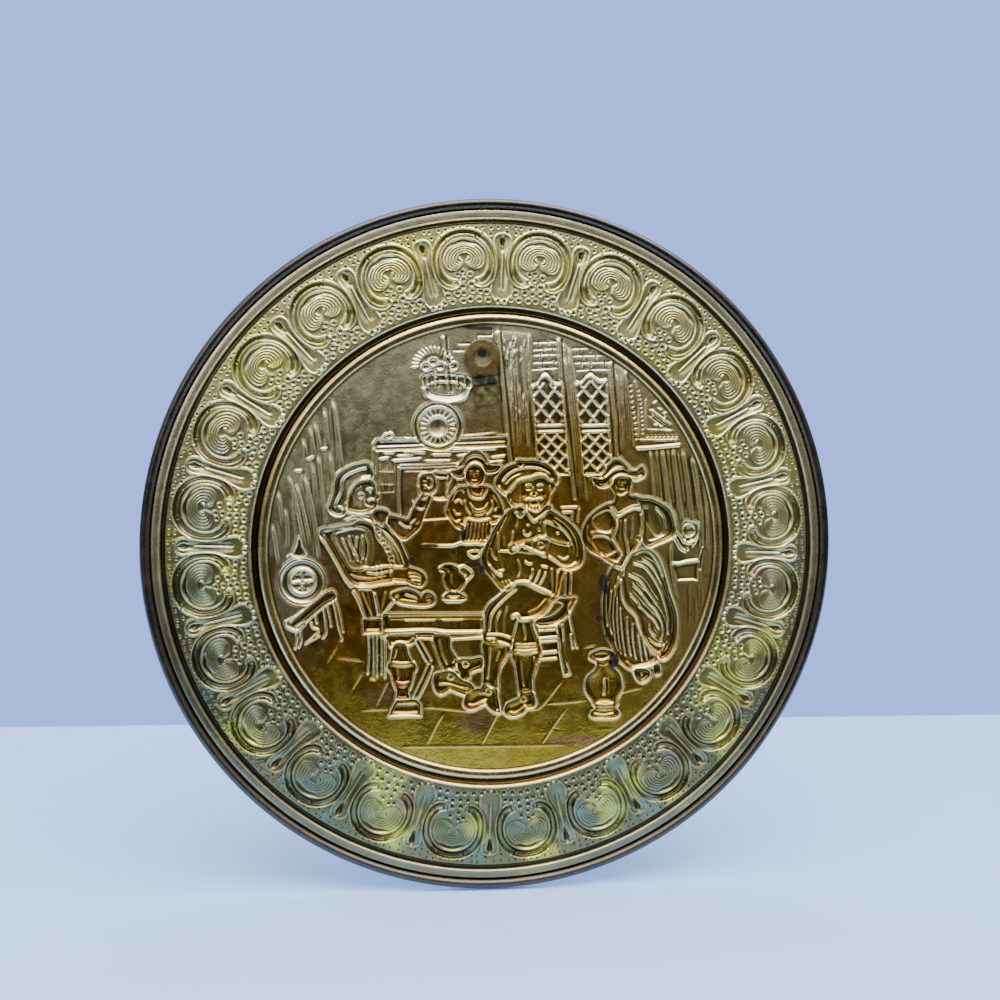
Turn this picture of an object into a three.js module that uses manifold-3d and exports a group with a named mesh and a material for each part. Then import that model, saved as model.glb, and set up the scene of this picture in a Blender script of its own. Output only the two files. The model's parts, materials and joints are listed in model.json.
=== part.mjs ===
// A round wall plate of thin brass sheet, pressed with a tavern scene inside a border of 24 scrolled
// medallions, with a rolled edge and a soldered hanging tab. The scene stands proud on the front (+Y)
// and is hollow on the wall side (-Y). Millimetres, +Z up, +X to the right as seen from the wall side.
import * as THREE from "three";
import { mergeVertices } from "three/addons/utils/BufferGeometryUtils.js";
import Module from "manifold-3d";

const wasm = await Module();
wasm.setup();

// ---- driving dimensions ----
const PLATE_RADIUS = 152.5; // 12 in plate
const SHEET = 0.8; // thickness of the brass
const SEGMENTS = 40; // sides of each turned ring
const DRAFT = 0.35; // how far a pressed wall leans in
const MOUTH = 0.6; // a pressed form's cut starts this far outside the sheet
const SHALLOW = 0.5; // forms no deeper than this leave the front smooth
const OVERLAP = 0.01; // keeps two joined faces from lying in one plane

const BEAD = { radius: 2, sides: 5, from: 165, step: 64 }; // rolled edge, drawn between these angles
const EDGE_LEVEL = 0.3; // outer band and the bead's middle, above the rim's face
const BAND = { inner: 144.7, outer: 147.8 }; // plain outer band
const GROOVE = { at: 142.5, level: -1.4 };
const RIM_EDGE = 141.7;
const GULLY = { at: 148.7, level: -0.9 }; // gap between the band and the bead
const MOULDING = { step: 0.9, face: 4.1, hollow: 5.1, rim: 8.6, level: -0.3, deep: -2.2 }; // out from the well

const WELL_RADIUS = 98.4; // flat floor that carries the scene
const WELL_LEVEL = -1.6; // wall-side face of the floor, below the rim's face
const CLIP_RADIUS = WELL_RADIUS - 0.4; // nothing of the scene passes this

const MOTIFS = 24;
const MOTIF_RADIUS = 127.4; // centres of the medallions
const SCROLL = { outer: 12.6, inner: 9.3, opening: 30, depth: 1.1, tip: [3, 8.4], sides: 6 };
const HEART = { radius: 6.4, sides: 5, depth: 1.3 };
const STEM = { foot: 109, head: 137.4, footHalf: 4.3, waistHalf: 1.7, headHalf: 2.5, depth: 0.45 };

const WHEEL = [
  { at: [-83.8, -13.8], outer: 10.2, inner: 8.2, sides: 12, depth: 1 },
  { at: [-83.8, -13.8], outer: 6.2, inner: 4.4, sides: 8, depth: 0.8 },
];
const LINE = { width: 0.9, height: 0.3 };
const FOLD = { width: 1, height: 0.6 };

const TAB = {
  centre: [-7.6, 84],
  lean: 9, // degrees, the strap's end swings to +X
  radius: 7.8,
  hole: 3.4,
  half: 5.8, // half of the strap's width
  length: 20.6, // from the hole down to the strap's end
  slant: 1.4, // the end is sheared a little askew
  thick: 1,
  face: 2.5, // wall-side face of the disc above the rim's face, level with the bead
  gap: 0.3, // solder under the strap
  bendTop: 8, // the strap steps down to the sheet between these, below the hole
  bendEnd: 12,
};
const MOUNT_ABOVE_HOLE = 5.6; // on the tab's face, halfway between the hole and the disc's edge

const brass = new THREE.MeshStandardMaterial({
  color: 0x8c7a3c,
  roughness: 0.36,
  metalness: 1,
  flatShading: true,
});
const tabBrass = new THREE.MeshStandardMaterial({
  color: 0x9a8a3e,
  roughness: 0.5,
  metalness: 1,
  flatShading: true,
});

// ---- solids ----
function solidOf(geometry) {
  geometry.deleteAttribute("normal");
  geometry.deleteAttribute("uv");
  const merged = mergeVertices(geometry, 1e-4);
  const index = merged.index.array;
  const kept = [];
  for (let i = 0; i < index.length; i += 3) {
    const [a, b, c] = index.subarray(i, i + 3);
    if (a !== b && b !== c && a !== c) kept.push(a, b, c);
  }
  const build = (order) =>
    new wasm.Manifold(
      new wasm.Mesh({
        numProp: 3,
        vertProperties: merged.attributes.position.array,
        triVerts: new Uint32Array(order),
      }),
    );
  const solid = build(kept);
  return solid.volume() > 0 ? solid : build(kept.reverse());
}

function meshOf(name, solid, material) {
  const { vertProperties, triVerts } = solid.getMesh();
  const geometry = new THREE.BufferGeometry()
    .setAttribute("position", new THREE.BufferAttribute(vertProperties, 3))
    .setIndex(new THREE.BufferAttribute(triVerts, 1));
  const mesh = new THREE.Mesh(geometry, material);
  mesh.name = name;
  return mesh;
}

// Heights are measured from the rim's wall-side face, towards the wall, so height h lies at y = -h.
function turned(profile) {
  const points = profile.map(([r, h]) => new THREE.Vector2(r, -h));
  return solidOf(new THREE.LatheGeometry(points, SEGMENTS));
}

// Moves each side of a closed outline outwards by `by`, with its corners mitred.
function grown(outline, by) {
  const n = outline.length;
  const normals = outline.map(([x, y], i) => {
    const [nx, ny] = outline[(i + 1) % n];
    const length = Math.hypot(nx - x, ny - y);
    return [(ny - y) / length, (x - nx) / length];
  });
  return outline.map(([x, y], i) => {
    const [a, b] = [normals[(i + n - 1) % n], normals[i]];
    const scale = by / Math.max(1 + a[0] * b[0] + a[1] * b[1], 0.5);
    return [x + (a[0] + b[0]) * scale, y + (a[1] + b[1]) * scale];
  });
}

// A block between two heights, `near` at height `from` and `far` at height `to`; both have the same points.
function block(near, far, from, to) {
  const flat = near.map(([x, y]) => new THREE.Vector2(x, y));
  const caps = THREE.ShapeUtils.triangulateShape(flat, []);
  const n = near.length;
  const rows = [...near.map(([x, y]) => [x, -from, y]), ...far.map(([x, y]) => [x, -to, y])];
  const faces = [];
  for (const [a, b, c] of caps) faces.push(a, b, c, a + n, c + n, b + n);
  for (let i = 0; i < n; i++) {
    const j = (i + 1) % n;
    faces.push(i, i + n, j, j, i + n, j + n);
  }
  const geometry = new THREE.BufferGeometry();
  geometry.setAttribute("position", new THREE.Float32BufferAttribute(rows.flat(), 3));
  geometry.setIndex(faces);
  return solidOf(geometry);
}

function anticlockwise(outline) {
  const flat = outline.map(([x, y]) => new THREE.Vector2(x, y));
  return THREE.ShapeUtils.isClockWise(flat) ? [...outline].reverse() : outline;
}

const joined = (solids) => wasm.Manifold.union(solids);

// What a pressed form takes from the wall side and adds to the front, over a sheet at `level`.
function hollow(outline, depth, level) {
  const line = anticlockwise(outline);
  return block(line, grown(line, -DRAFT), level + MOUTH, level - depth);
}
function boss(outline, depth, level) {
  const line = grown(anticlockwise(outline), SHEET);
  return block(line, grown(line, -DRAFT), level - SHEET / 2, level - SHEET - depth);
}
function raisedBar([x0, y0], [x1, y1], width, height, level) {
  const length = Math.hypot(x1 - x0, y1 - y0);
  const [sx, sy] = [((y0 - y1) / length) * (width / 2), ((x1 - x0) / length) * (width / 2)];
  const line = anticlockwise([
    [x0 + sx, y0 + sy],
    [x0 - sx, y0 - sy],
    [x1 - sx, y1 - sy],
    [x1 + sx, y1 + sy],
  ]);
  return block(line, grown(line, -width / 4), level - SHEET / 2, level + height);
}

const polygon = (sides, at) => Array.from({ length: sides }, (_, i) => at((i / sides) * 2 * Math.PI));
const oval = ([cx, cy], rx, ry, sides) =>
  polygon(sides, (a) => [cx + rx * Math.cos(a), cy + ry * Math.sin(a)]);
const bar = (x0, y0, x1, y1, half) => {
  const length = Math.hypot(x1 - x0, y1 - y0);
  const [sx, sy] = [((y0 - y1) / length) * half, ((x1 - x0) / length) * half];
  return [
    [x0 + sx, y0 + sy],
    [x0 - sx, y0 - sy],
    [x1 - sx, y1 - sy],
    [x1 + sx, y1 + sy],
  ];
};

// ---- the plate's turned section ----
function plateProfile() {
  const { step, face, hollow: deepAt, rim, level, deep } = MOULDING;
  const wallSide = [
    [WELL_RADIUS, WELL_LEVEL],
    [WELL_RADIUS + step, level],
    [WELL_RADIUS + face, level],
    [WELL_RADIUS + deepAt, deep],
    [WELL_RADIUS + rim, 0],
    [RIM_EDGE, 0],
    [GROOVE.at, GROOVE.level],
    [BAND.inner, EDGE_LEVEL],
    [BAND.outer, EDGE_LEVEL],
    [GULLY.at, GULLY.level],
  ];
  const bead = Array.from({ length: BEAD.sides }, (_, i) => {
    const a = THREE.MathUtils.degToRad(BEAD.from - i * BEAD.step);
    return [PLATE_RADIUS + BEAD.radius * (Math.cos(a) - 1), EDGE_LEVEL + BEAD.radius * Math.sin(a)];
  });
  // the front keeps the main turns of the section, a sheet's thickness away
  const front = [
    [BAND.outer, EDGE_LEVEL],
    [GROOVE.at, GROOVE.level],
    [RIM_EDGE, 0],
    [WELL_RADIUS + rim, 0],
    [WELL_RADIUS + deepAt, deep],
    [WELL_RADIUS, WELL_LEVEL],
  ].map(([r, h]) => [r + DRAFT, h - SHEET]);
  return [[0, WELL_LEVEL], ...wallSide, ...bead, ...front, [0, WELL_LEVEL - SHEET]];
}

// ---- the border ----
// A motif's own points are (s, r): sideways, and out from the plate's middle.
function aroundRim(outline, turns) {
  const a = (turns / MOTIFS) * 2 * Math.PI;
  return outline.map(([s, r]) => [r * Math.sin(a) + s * Math.cos(a), r * Math.cos(a) - s * Math.sin(a)]);
}

function scrollOutline() {
  const { outer, inner, opening, tip } = SCROLL;
  const arc = (radius, from, to, count) =>
    Array.from({ length: count }, (_, i) => {
      const a = THREE.MathUtils.degToRad(from + ((to - from) * i) / (count - 1));
      return [radius * Math.sin(a), MOTIF_RADIUS + radius * Math.cos(a)];
    });
  const end = 180 - opening;
  return [
    ...arc(outer, -end, end, SCROLL.sides),
    [tip[0], MOTIF_RADIUS - tip[1]], // teardrop ends curl in
    ...arc(inner, end - 25, 25 - end, 4),
    [-tip[0], MOTIF_RADIUS - tip[1]],
  ];
}

function stemOutline() {
  const { foot, head, footHalf, waistHalf, headHalf } = STEM;
  const side = [
    [footHalf, foot + 3.5],
    [waistHalf, head - 10],
    [headHalf, head - 2.4],
  ];
  const mirrored = [...side].reverse().map(([s, r]) => [-s, r]);
  return [[0, foot], ...side, [0, head], ...mirrored];
}

// ---- the scene, in millimetres from the plate's middle: [depth, outline] ----
function fireplace() {
  return [
    [0.9, [[-52, 46.6], [-20, 47.8], [3.2, 49.8], [3.8, 46.4], [-20, 44], [-52, 43.2]]],
    [0.7, [[-52, 41.8], [-18, 42.4], [-17, 36.6], [-42.4, 35.2], [-41.8, 14.4], [-46.4, 14.4], [-46.8, 37.6]]],
    [0.9, oval([-26.5, 54.4], 10, 9.6, 12)],
    [1.6, oval([-26.5, 54], 4.9, 4.9, 7)],
    [1.1, [
      [-33.2, 75.5], [-30.8, 75.5], [-30.6, 70], [-22.5, 67], [-15.6, 69], [-15, 72.4],
      [-13.4, 72], [-13.6, 67.6], [-17, 64.9], [-22.5, 63.9], [-28.6, 64.6], [-32.8, 67.8],
    ]],
  ];
}

function spinningWheel() {
  return [
    [1, [[-89.6, -32.6], [-73.6, -18.8], [-70.4, -20.2], [-71.4, -23.4], [-86.6, -36]]],
    [0.8, bar(-86.6, -36, -87, -44.4, 0.9)],
    [0.8, bar(-70.6, -22.6, -67.8, -40, 1)],
    [0.8, bar(-74, -25.6, -74, -39.2, 1.3)],
  ];
}

function wallBoards() {
  return [
    [0.6, [[-78.2, 56], [-75, 60.6], [-73.2, 43], [-77.4, 42.6]]],
    [0.6, [[-83.4, 50.4], [-81.4, 53.2], [-79.2, 38], [-83, 37.6]]],
    [0.6, bar(-82.4, 30, -76.6, -5, 1.1)],
    [0.6, bar(-92.2, 18, -90.6, 0, 1.3)],
  ];
}

function leftSitter() {
  return [
    [1.7, [
      [-57, 37.2], [-54.9, 31], [-59.8, 29.6], [-64, 26], [-65.8, 18], [-69, 15.4],
      [-72.2, 18], [-70.4, 27], [-70.4, 32], [-66, 35.4],
    ]],
    [2.1, [[-59.8, 29], [-55, 29.4], [-53.2, 24.4], [-51.4, 20], [-53.4, 16.8], [-64.6, 17.4], [-63.4, 25]]],
    [1.9, [
      [-75.6, 7], [-62, 10.4], [-47, 9], [-42.4, 3.6], [-39.2, -6.6], [-32.6, -10],
      [-32.4, -14.4], [-36, -16], [-52, -14.4], [-60.6, -17.8], [-69, -4.6],
    ]],
    [2.3, [
      [-47, 8.8], [-38, 9.2], [-35.4, 13.4], [-34.6, 26], [-32, 31], [-28, 31.6],
      [-27.6, 26], [-32, 14], [-35.4, 7.4], [-41, 3.8],
    ]],
    [1.5, [[-27.2, 33.4], [-20.6, 33.4], [-22.4, 27.6], [-21.4, 22.4], [-26.4, 21.8]]],
    [1.1, bar(-62, -18.4, -56, -31.6, 1.2)],
    [1.1, bar(-56.6, -18.6, -52, -31.4, 2)],
    [1.2, [[-26.4, -39], [-20.2, -39], [-15.6, -50], [-20.2, -54.2], [-24.2, -47]]],
    [1.6, [[-19.6, -53], [-15.4, -50.2], [-5.6, -48.8], [-5.4, -51.8], [-11, -55], [-14, -58.2]]],
    [1.8, [[-25.8, -56.4], [-19.6, -54.8], [-10, -60], [-9.6, -64.2], [-19, -62], [-24.6, -64.2]]],
  ];
}

function table() {
  return [
    [1.3, [[-57.4, -31.8], [-49.4, -31.8], [-48.4, -29.4], [-4.6, -29.4], [-4.6, -38.2], [-48.6, -38], [-57.2, -36.4]]],
    [1, [[-46.8, -38.2], [-35.6, -38.2], [-37.2, -42.4], [-44.6, -42.6]]],
    [1.3, [
      [-43.6, -42.8], [-40, -42.8], [-35.4, -50.6], [-37.2, -60], [-37.2, -66.2],
      [-42.2, -66.2], [-43.8, -60], [-46.6, -51],
    ]],
    [1.4, [[-42.4, -67.8], [-34.6, -67.8], [-33, -70], [-33, -73.4], [-45.6, -73.4]]],
    [0.8, bar(-34.4, -39.6, -28.6, -50.4, 1)],
    [0.8, bar(-28.6, -50.4, -35, -65.4, 1)],
    [0.9, bar(-55, -37, -55.2, -56, 0.9)],
    [0.9, bar(-48, -39, -48, -58, 0.8)],
    [1.4, [[-24, -7], [-16.4, -7], [-15.4, -16.6], [-14.3, -21.8], [-21.9, -21.8], [-20.6, -17]]],
    [0.9, [[-15.4, -7.2], [-12, -6.8], [-10, -9.4], [-14.6, -16]]],
    [1, [[-46.4, -24], [-43, -20], [-37, -18.6], [-32, -21.4], [-29.6, -19.8], [-27.2, -21.8], [-31, -24.6]]],
  ];
}

function maid() {
  return [
    [1.5, [
      [-20, 33.8], [-15.4, 35.6], [-13.6, 40.4], [-9.6, 43], [-5.8, 40.8], [-4.4, 37],
      [-0.4, 37.4], [-2, 34.6], [-5.8, 36], [-9.6, 38], [-13.4, 35.6], [-17.4, 31.8],
    ]],
    [2, oval([-9.7, 33], 3.9, 4.2, 8)],
    [1.7, [
      [-13.6, 27.2], [-4, 27.4], [2.4, 18.6], [0.6, 12.6], [-13, 12], [-14.2, 9.6],
      [-18.4, 11.8], [-21.6, 17], [-20.4, 23.4], [-17, 27.4],
    ]],
    [1.2, [[-12.6, 11.6], [-3, 12], [-4.2, 3], [-14.2, 4.4]]],
  ];
}

function middleSitter() {
  return [
    [1.9, [
      [0.4, 29], [1, 33], [4.4, 36.8], [12.6, 38.8], [20, 37.6], [25.4, 34],
      [26.2, 30], [20, 33.2], [11, 31], [5.8, 26.6], [2.8, 25.2],
    ]],
    [2.4, [[6.4, 26], [11, 30.4], [19.6, 32.6], [24.4, 30.2], [21.8, 19.2], [18, 17.6], [9.6, 20.2]]],
    [2.2, [
      [8, 19.4], [13.6, 17.6], [17.4, 13.6], [23.4, 17.8], [30.6, 13.8], [36.2, 7.4], [39, 0],
      [37.8, -6.4], [28.4, -9], [26.4, -19.4], [12, -14.6], [4.4, -18], [-3.4, -10.4],
      [-5.6, -4.4], [-2.6, 4], [2, 13.4],
    ]],
    [1.8, [
      [7.6, -17.2], [12, -15.2], [26.4, -20.2], [22, -27.4], [17.6, -31], [20, -46.6],
      [10, -46.6], [8.8, -41], [6, -43.6], [-3.6, -41.6], [-4.6, -31], [-1, -24.6],
    ]],
    [1.5, [[-4, -42.2], [5.6, -44], [1.8, -55], [1, -64], [-3.6, -61]]],
    [1.5, [[9.6, -47], [19.4, -47], [17, -64], [13, -64]]],
    [1.9, [
      [-12.6, -66.6], [-10, -64.8], [-4.4, -64.8], [-2.6, -61], [1.4, -63], [2, -69],
      [-2.6, -68], [-8.6, -70.8], [-12.4, -69.8],
    ]],
    [1.9, [
      [12.8, -64.6], [17.6, -64.6], [18.6, -70.4], [14.8, -70.8], [11.4, -74], [7.6, -74],
      [5.8, -71.6], [11.4, -68.4],
    ]],
    [0.9, bar(27.6, 16.8, 34.4, 16.8, 0.9)],
    [0.8, [[21, -31.4], [31.6, -24], [35.6, -22], [33.4, -27], [28, -32]]],
    [0.9, bar(28.6, -33.6, 32.6, -56, 1.2)],
    [0.8, bar(34, -27, 37.2, -44.4, 1)],
    ...[-34.4, -39.6, -46.2].map((y) => [0.7, bar(20.6, y - 0.4, 28.4, y + 0.4, 0.8)]),
  ];
}

function windows() {
  // Leaded lights: rows of small panes between leaning posts.
  const lights = [
    { foot: [18.6, 37.4], rows: 2 },
    { foot: [16, 57.4], rows: 2 },
    { foot: [38.4, 38.8], rows: 2 },
    { foot: [35.6, 58.4], rows: 2 },
  ];
  const [wide, high] = [6.2, 7];
  const lean = 0.11; // the posts lean to the left going up
  return lights.flatMap(({ foot: [x, y], rows }) =>
    Array.from({ length: rows * 2 }, (_, i) => {
      const column = i % 2;
      const row = Math.floor(i / 2);
      const cy = y + high * (row + 0.5) + column * 0.6;
      const cx = x + wide * (column + 0.5) - lean * (cy - y);
      return [0.45, oval([cx, cy], wide / 2 - 0.4, high / 2 - 0.3, 4)];
    }),
  );
}

function wallRight() {
  return [
    [0.7, [[58.8, 75], [62.6, 72.6], [65, 50.6], [80.2, 51.8], [82, 47.4], [62, 45]]],
    ...[0, 1, 2, 3].map((k) => [0.7, bar(72.8 + 4.5 * k, 43.6 - k, 76.6 + 4.1 * k, 19 - 1.5 * k, 1.1)]),
    [1, oval([88.2, 9.2], 3, 3, 6)],
    [0.8, [[80.8, 4.6], [86, 0.6], [91.8, 1], [92, -4.6], [80.8, -5.8]]],
  ];
}

function woman() {
  return [
    [1.6, [
      [43.8, 32.4], [46, 29], [51, 29.6], [57, 32.8], [66, 33], [65.8, 35], [60.6, 36],
      [56.8, 39.6], [52, 39.8], [49, 34],
    ]],
    [2.1, oval([56.6, 29], 3.5, 3.9, 8)],
    [1.4, [[54, 24.6], [59, 24.6], [65, 20], [66, 15], [56.4, 15.2], [51.8, 20]]],
    [2, [[51.4, 20], [54.4, 14.4], [53, 6], [57.6, -8.2], [46, -2.2], [41.4, 2.4], [40, 8], [41.8, 13], [46, 17.6]]],
    [1.3, [[54, 15.4], [66.4, 15.6], [67, 6], [60, -3], [57.4, -9], [53.2, 5]]],
    [2.2, [[66, 22.4], [70.6, 22.8], [76.4, 19.6], [80.6, 12], [79, 6], [72, 2.6], [66.8, 4], [67.4, 12]]],
    [1.5, [
      [54.4, -7], [59, -9], [60, -25], [65.6, -33], [70, -44], [74.6, -48.6], [71, -51.6],
      [64, -53], [68.4, -58.8], [57.4, -50], [51.6, -38], [49.4, -26], [50.6, -14],
    ]],
    [2, [
      [60.4, -2.8], [66, -0.2], [70.4, -1], [75, -5.6], [80.4, -17], [83, -30], [82.4, -43],
      [78.6, -49], [70.6, -43.4], [66.4, -33.6], [60.6, -25], [58.4, -12],
    ]],
  ];
}

function floorJug() {
  return [
    [1.2, [[44, -47.6], [49, -45.7], [53.8, -47.4], [52.4, -50], [45.8, -50]]],
    [1.9, [
      [46.2, -50], [52.2, -50], [53.2, -53.4], [57.2, -57], [57.8, -61], [54.6, -69.4],
      [47.4, -69.4], [43, -64.6], [42, -60.6], [46.4, -55],
    ]],
    [1.6, [[47.2, -70.6], [54.4, -70.6], [56.6, -73.8], [54, -75.6], [48, -75.6], [45.4, -74]]],
  ];
}

// Lines drawn into the front, so they stand up a little on the wall side.
function drawnLines() {
  return [
    [[-40, -88], [31, -88.3]],
    [[2, -73], [-5, -88]],
    [[33.4, -72], [22, -88]],
    [[-30, -70.8], [-14, -71.8]],
    [[0.4, 96], [6.2, 40]],
    [[13, 95], [17.8, 41]],
    [[26.2, 92], [33.6, 24]],
    [[32.6, 87], [40, 24]],
    [[49.4, 82], [53.6, 42]],
  ];
}
// Folds inside the skirts and the apron, left standing in their hollows.
function folds() {
  return [
    ...[0, 1, 2].map((k) => [[54 + 3.2 * k, -21 - 5 * k], [56.4 + 3.6 * k, -41 - 2 * k], 1.5]),
    [[66.5, -12], [76, -34], 2],
    [[72, -9], [79.6, -32], 2],
    ...[0, 1].map((k) => [[-10.4 + 3.4 * k, 11], [-11 + 3.4 * k, 4.4], 1.2]),
    [[-44.6, 4], [-41.4, -8], 1.9],
  ];
}

// ---- pieces ----
// A pressed ring: an oval form with its middle left standing.
function wheelRing({ at, outer, inner, sides, depth }) {
  const middle = hollow(oval(at, inner, inner, sides), depth + MOUTH, WELL_LEVEL + OVERLAP);
  return hollow(oval(at, outer, outer, sides), depth, WELL_LEVEL).subtract(middle);
}

function sceneForms() {
  return [
    ...fireplace(),
    ...wallBoards(),
    ...spinningWheel(),
    ...windows(),
    ...wallRight(),
    ...leftSitter(),
    ...table(),
    ...maid(),
    ...middleSitter(),
    ...woman(),
    ...floorJug(),
  ];
}

function pressedSheet() {
  const forms = sceneForms();
  const wellEdge = oval([0, 0], CLIP_RADIUS, CLIP_RADIUS, SEGMENTS);
  const insideWell = block(wellEdge, wellEdge, 2 * SHEET, -8 * SHEET);
  const sceneCuts = joined([...forms.map(([depth, line]) => hollow(line, depth, WELL_LEVEL)), ...WHEEL.map(wheelRing)]);
  const cuts = [sceneCuts.intersect(insideWell)];
  const rise = forms.filter(([depth]) => depth > SHALLOW).map(([depth, line]) => boss(line, depth, WELL_LEVEL));
  const [{ at, outer, sides, depth: wheelDepth }] = WHEEL;
  rise.push(boss(oval(at, outer, outer, sides), wheelDepth, WELL_LEVEL));

  const motif = [0, MOTIF_RADIUS];
  const heart = oval(motif, HEART.radius, HEART.radius, HEART.sides);
  const dome = oval(motif, SCROLL.outer + SHEET, SCROLL.outer + SHEET, SCROLL.sides);
  for (let k = 0; k < MOTIFS; k++) {
    cuts.push(hollow(aroundRim(scrollOutline(), k + 0.5), SCROLL.depth, 0));
    cuts.push(hollow(aroundRim(heart, k + 0.5), HEART.depth, 0));
    cuts.push(hollow(aroundRim(stemOutline(), k), STEM.depth, 0));
    rise.push(boss(aroundRim(dome, k + 0.5), SCROLL.depth, 0));
  }
  const bars = [
    ...drawnLines().map(([from, to]) => raisedBar(from, to, LINE.width, LINE.height, WELL_LEVEL)),
    ...folds().map(([from, to, depth]) => raisedBar(from, to, FOLD.width, FOLD.height, WELL_LEVEL - depth)),
  ];
  return turned(plateProfile()).add(joined(rise)).subtract(joined(cuts)).add(joined(bars));
}

function hangingTab() {
  const { radius, hole, half, length, slant, thick, face, gap, bendTop, bendEnd } = TAB;
  const shape = new THREE.Shape();
  const joinAngle = Math.asin(half / radius);
  shape.moveTo(-half, -length - slant / 2);
  shape.lineTo(half, -length + slant / 2);
  shape.lineTo(half, -radius * Math.cos(joinAngle));
  shape.absarc(0, 0, radius, joinAngle - Math.PI / 2, 1.5 * Math.PI - joinAngle, false);
  shape.closePath();
  shape.holes.push(new THREE.Path().absarc(0, 0, hole, 0, 2 * Math.PI, true));
  const tall = 4 * face; // the plan is cut taller than the bent strap, which then trims it
  const plan = new THREE.ExtrudeGeometry(shape, { depth: tall, bevelEnabled: false, curveSegments: 9 });
  plan.translate(0, 0, -tall / 2).rotateX(Math.PI / 2);
  const seat = WELL_LEVEL + gap;
  const run = [
    [radius + 1, face],
    [-bendTop, face],
    [-bendEnd, seat + thick],
    [-length - 2, seat + thick],
    [-length - 2, seat],
    [-bendEnd - thick / 2, seat],
    [-bendTop - thick / 2, face - thick],
    [radius + 1, face - thick],
  ];
  const side = new THREE.Shape(run.map(([v, h]) => new THREE.Vector2(v, h)));
  const bend = new THREE.ExtrudeGeometry(side, { depth: 4 * radius, bevelEnabled: false });
  // side view: first coordinate runs up (+Z), second towards the wall (-Y), extruded along X
  bend.applyMatrix4(new THREE.Matrix4().set(0, 0, 1, -2 * radius, 0, -1, 0, 0, 1, 0, 0, 0, 0, 0, 0, 1));
  return solidOf(plan).intersect(solidOf(bend));
}

// ---- the plaque, with its origin on the tab's wall-side face, just above the hole ----
const [tabX, tabZ] = TAB.centre;
const plaque = new THREE.Group();

const sheet = meshOf("pressed_sheet", pressedSheet(), brass);
sheet.position.set(-tabX, TAB.face, -tabZ - MOUNT_ABOVE_HOLE);
plaque.add(sheet);

const tab = meshOf("hanging_tab", hangingTab(), tabBrass);
tab.position.set(0, TAB.face, -MOUNT_ABOVE_HOLE);
tab.rotation.y = -THREE.MathUtils.degToRad(TAB.lean);
plaque.add(tab);

export default plaque;
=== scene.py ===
"""A relief plaque: a pressed brass plate with a tavern scene in a scrolled border, from its wall side."""

import json
import math

import bpy
import numpy as np
from mathutils import Matrix, Vector
from mathutils.geometry import delaunay_2d_cdt

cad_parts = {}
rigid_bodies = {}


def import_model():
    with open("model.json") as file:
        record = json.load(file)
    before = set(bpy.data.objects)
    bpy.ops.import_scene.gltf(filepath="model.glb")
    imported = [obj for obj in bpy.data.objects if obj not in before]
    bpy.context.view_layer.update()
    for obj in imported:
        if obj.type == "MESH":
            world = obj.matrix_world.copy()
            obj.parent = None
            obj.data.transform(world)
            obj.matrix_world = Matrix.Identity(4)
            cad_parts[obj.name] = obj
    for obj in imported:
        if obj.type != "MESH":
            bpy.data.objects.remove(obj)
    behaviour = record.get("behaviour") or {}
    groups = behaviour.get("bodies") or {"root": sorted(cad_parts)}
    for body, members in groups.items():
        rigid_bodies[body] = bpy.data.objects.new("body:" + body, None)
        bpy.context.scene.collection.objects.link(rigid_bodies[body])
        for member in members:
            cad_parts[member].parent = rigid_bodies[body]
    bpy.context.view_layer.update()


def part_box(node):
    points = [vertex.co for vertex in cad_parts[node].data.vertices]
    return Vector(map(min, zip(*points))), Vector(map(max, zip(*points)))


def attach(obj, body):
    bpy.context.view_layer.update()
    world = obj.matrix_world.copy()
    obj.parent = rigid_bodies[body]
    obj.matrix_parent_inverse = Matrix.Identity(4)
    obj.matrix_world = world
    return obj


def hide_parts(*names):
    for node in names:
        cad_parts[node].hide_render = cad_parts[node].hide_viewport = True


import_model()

bl_info = {
    "name": "Pressed Brass Wall Plate",
    "version": (1, 0, 0),
    "blender": (4, 5, 0),
    "location": "View3D > Sidebar > Plaque",
    "description": "Builds a pressed brass wall plate seen from its wall side",
    "category": "Add Mesh",
}

MM = 0.001  # one millimetre in metres; the sizes below are in millimetres unless they say otherwise
SHEET = 0.8  # thickness of the brass
RING_SIDES = 480
WELL_R = 98.6
WELL_H = -1.6  # the well's wall-side face, from the rim's
RIM_IN = 107.2
RIM_OUT = 141.7
MOTIF_R = 127.4  # centres of the medallions
SECTORS = 24
SECTOR = 2 * math.pi / SECTORS
ROLL = 0.3  # degrees, the border's turn against the upright
FACE_Y = 2.5  # y of the rim's wall-side face
FRONT_Y = 4.9  # y of the well's front face
FLATTEN = 0.73  # depth kept by the forms beyond that face
MOUNT_TO_HOLE = 5.6  # from the mount down to the middle of the nail hole
TAB_RADIUS, TAB_HOLE = 7.8, 3.4  # the disc's and its hole's
TAB_HALF, TAB_LENGTH = 5.8, 20.6  # half the strap's width, and its reach from the hole
TAB_LEAN = math.radians(9)
TAB_MESH = 0.55  # spacing of the points on its faces
TAB_THICK = 1.0
TAB_GAP = 0.3  # solder under the strap
CAMERA_TILT, CAMERA_PAN, CAMERA_ROLL = 3.24, -5.99, 0.6  # degrees between the lens and the plate
CAMERA_FROM_MIDDLE = (-1.7, 22.0, 440.8)  # across, down and away, from the lens to the plate's middle
CLOTH_NEAR, CLOTH_FAR, CLOTH_HALF = -0.185, 0.274, 2  # metres to the cloth's edges
CLOTH = (0.43, 0.64, 1.0)
CLOTH_DROP = 0.1528  # metres from the plate's middle down to the cloth
PATCH_STEP = 0.16  # spacing of a border sector's heights
PANEL_STEP, QUICK_STEP = 0.24, 0.5
FRONT_STEP = 1.35  # spacing of the points on the scene's front
BACK_GRID, FRONT_GRID = (206, 214), (34, 34)  # columns and rows of a sector's two faces
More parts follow.
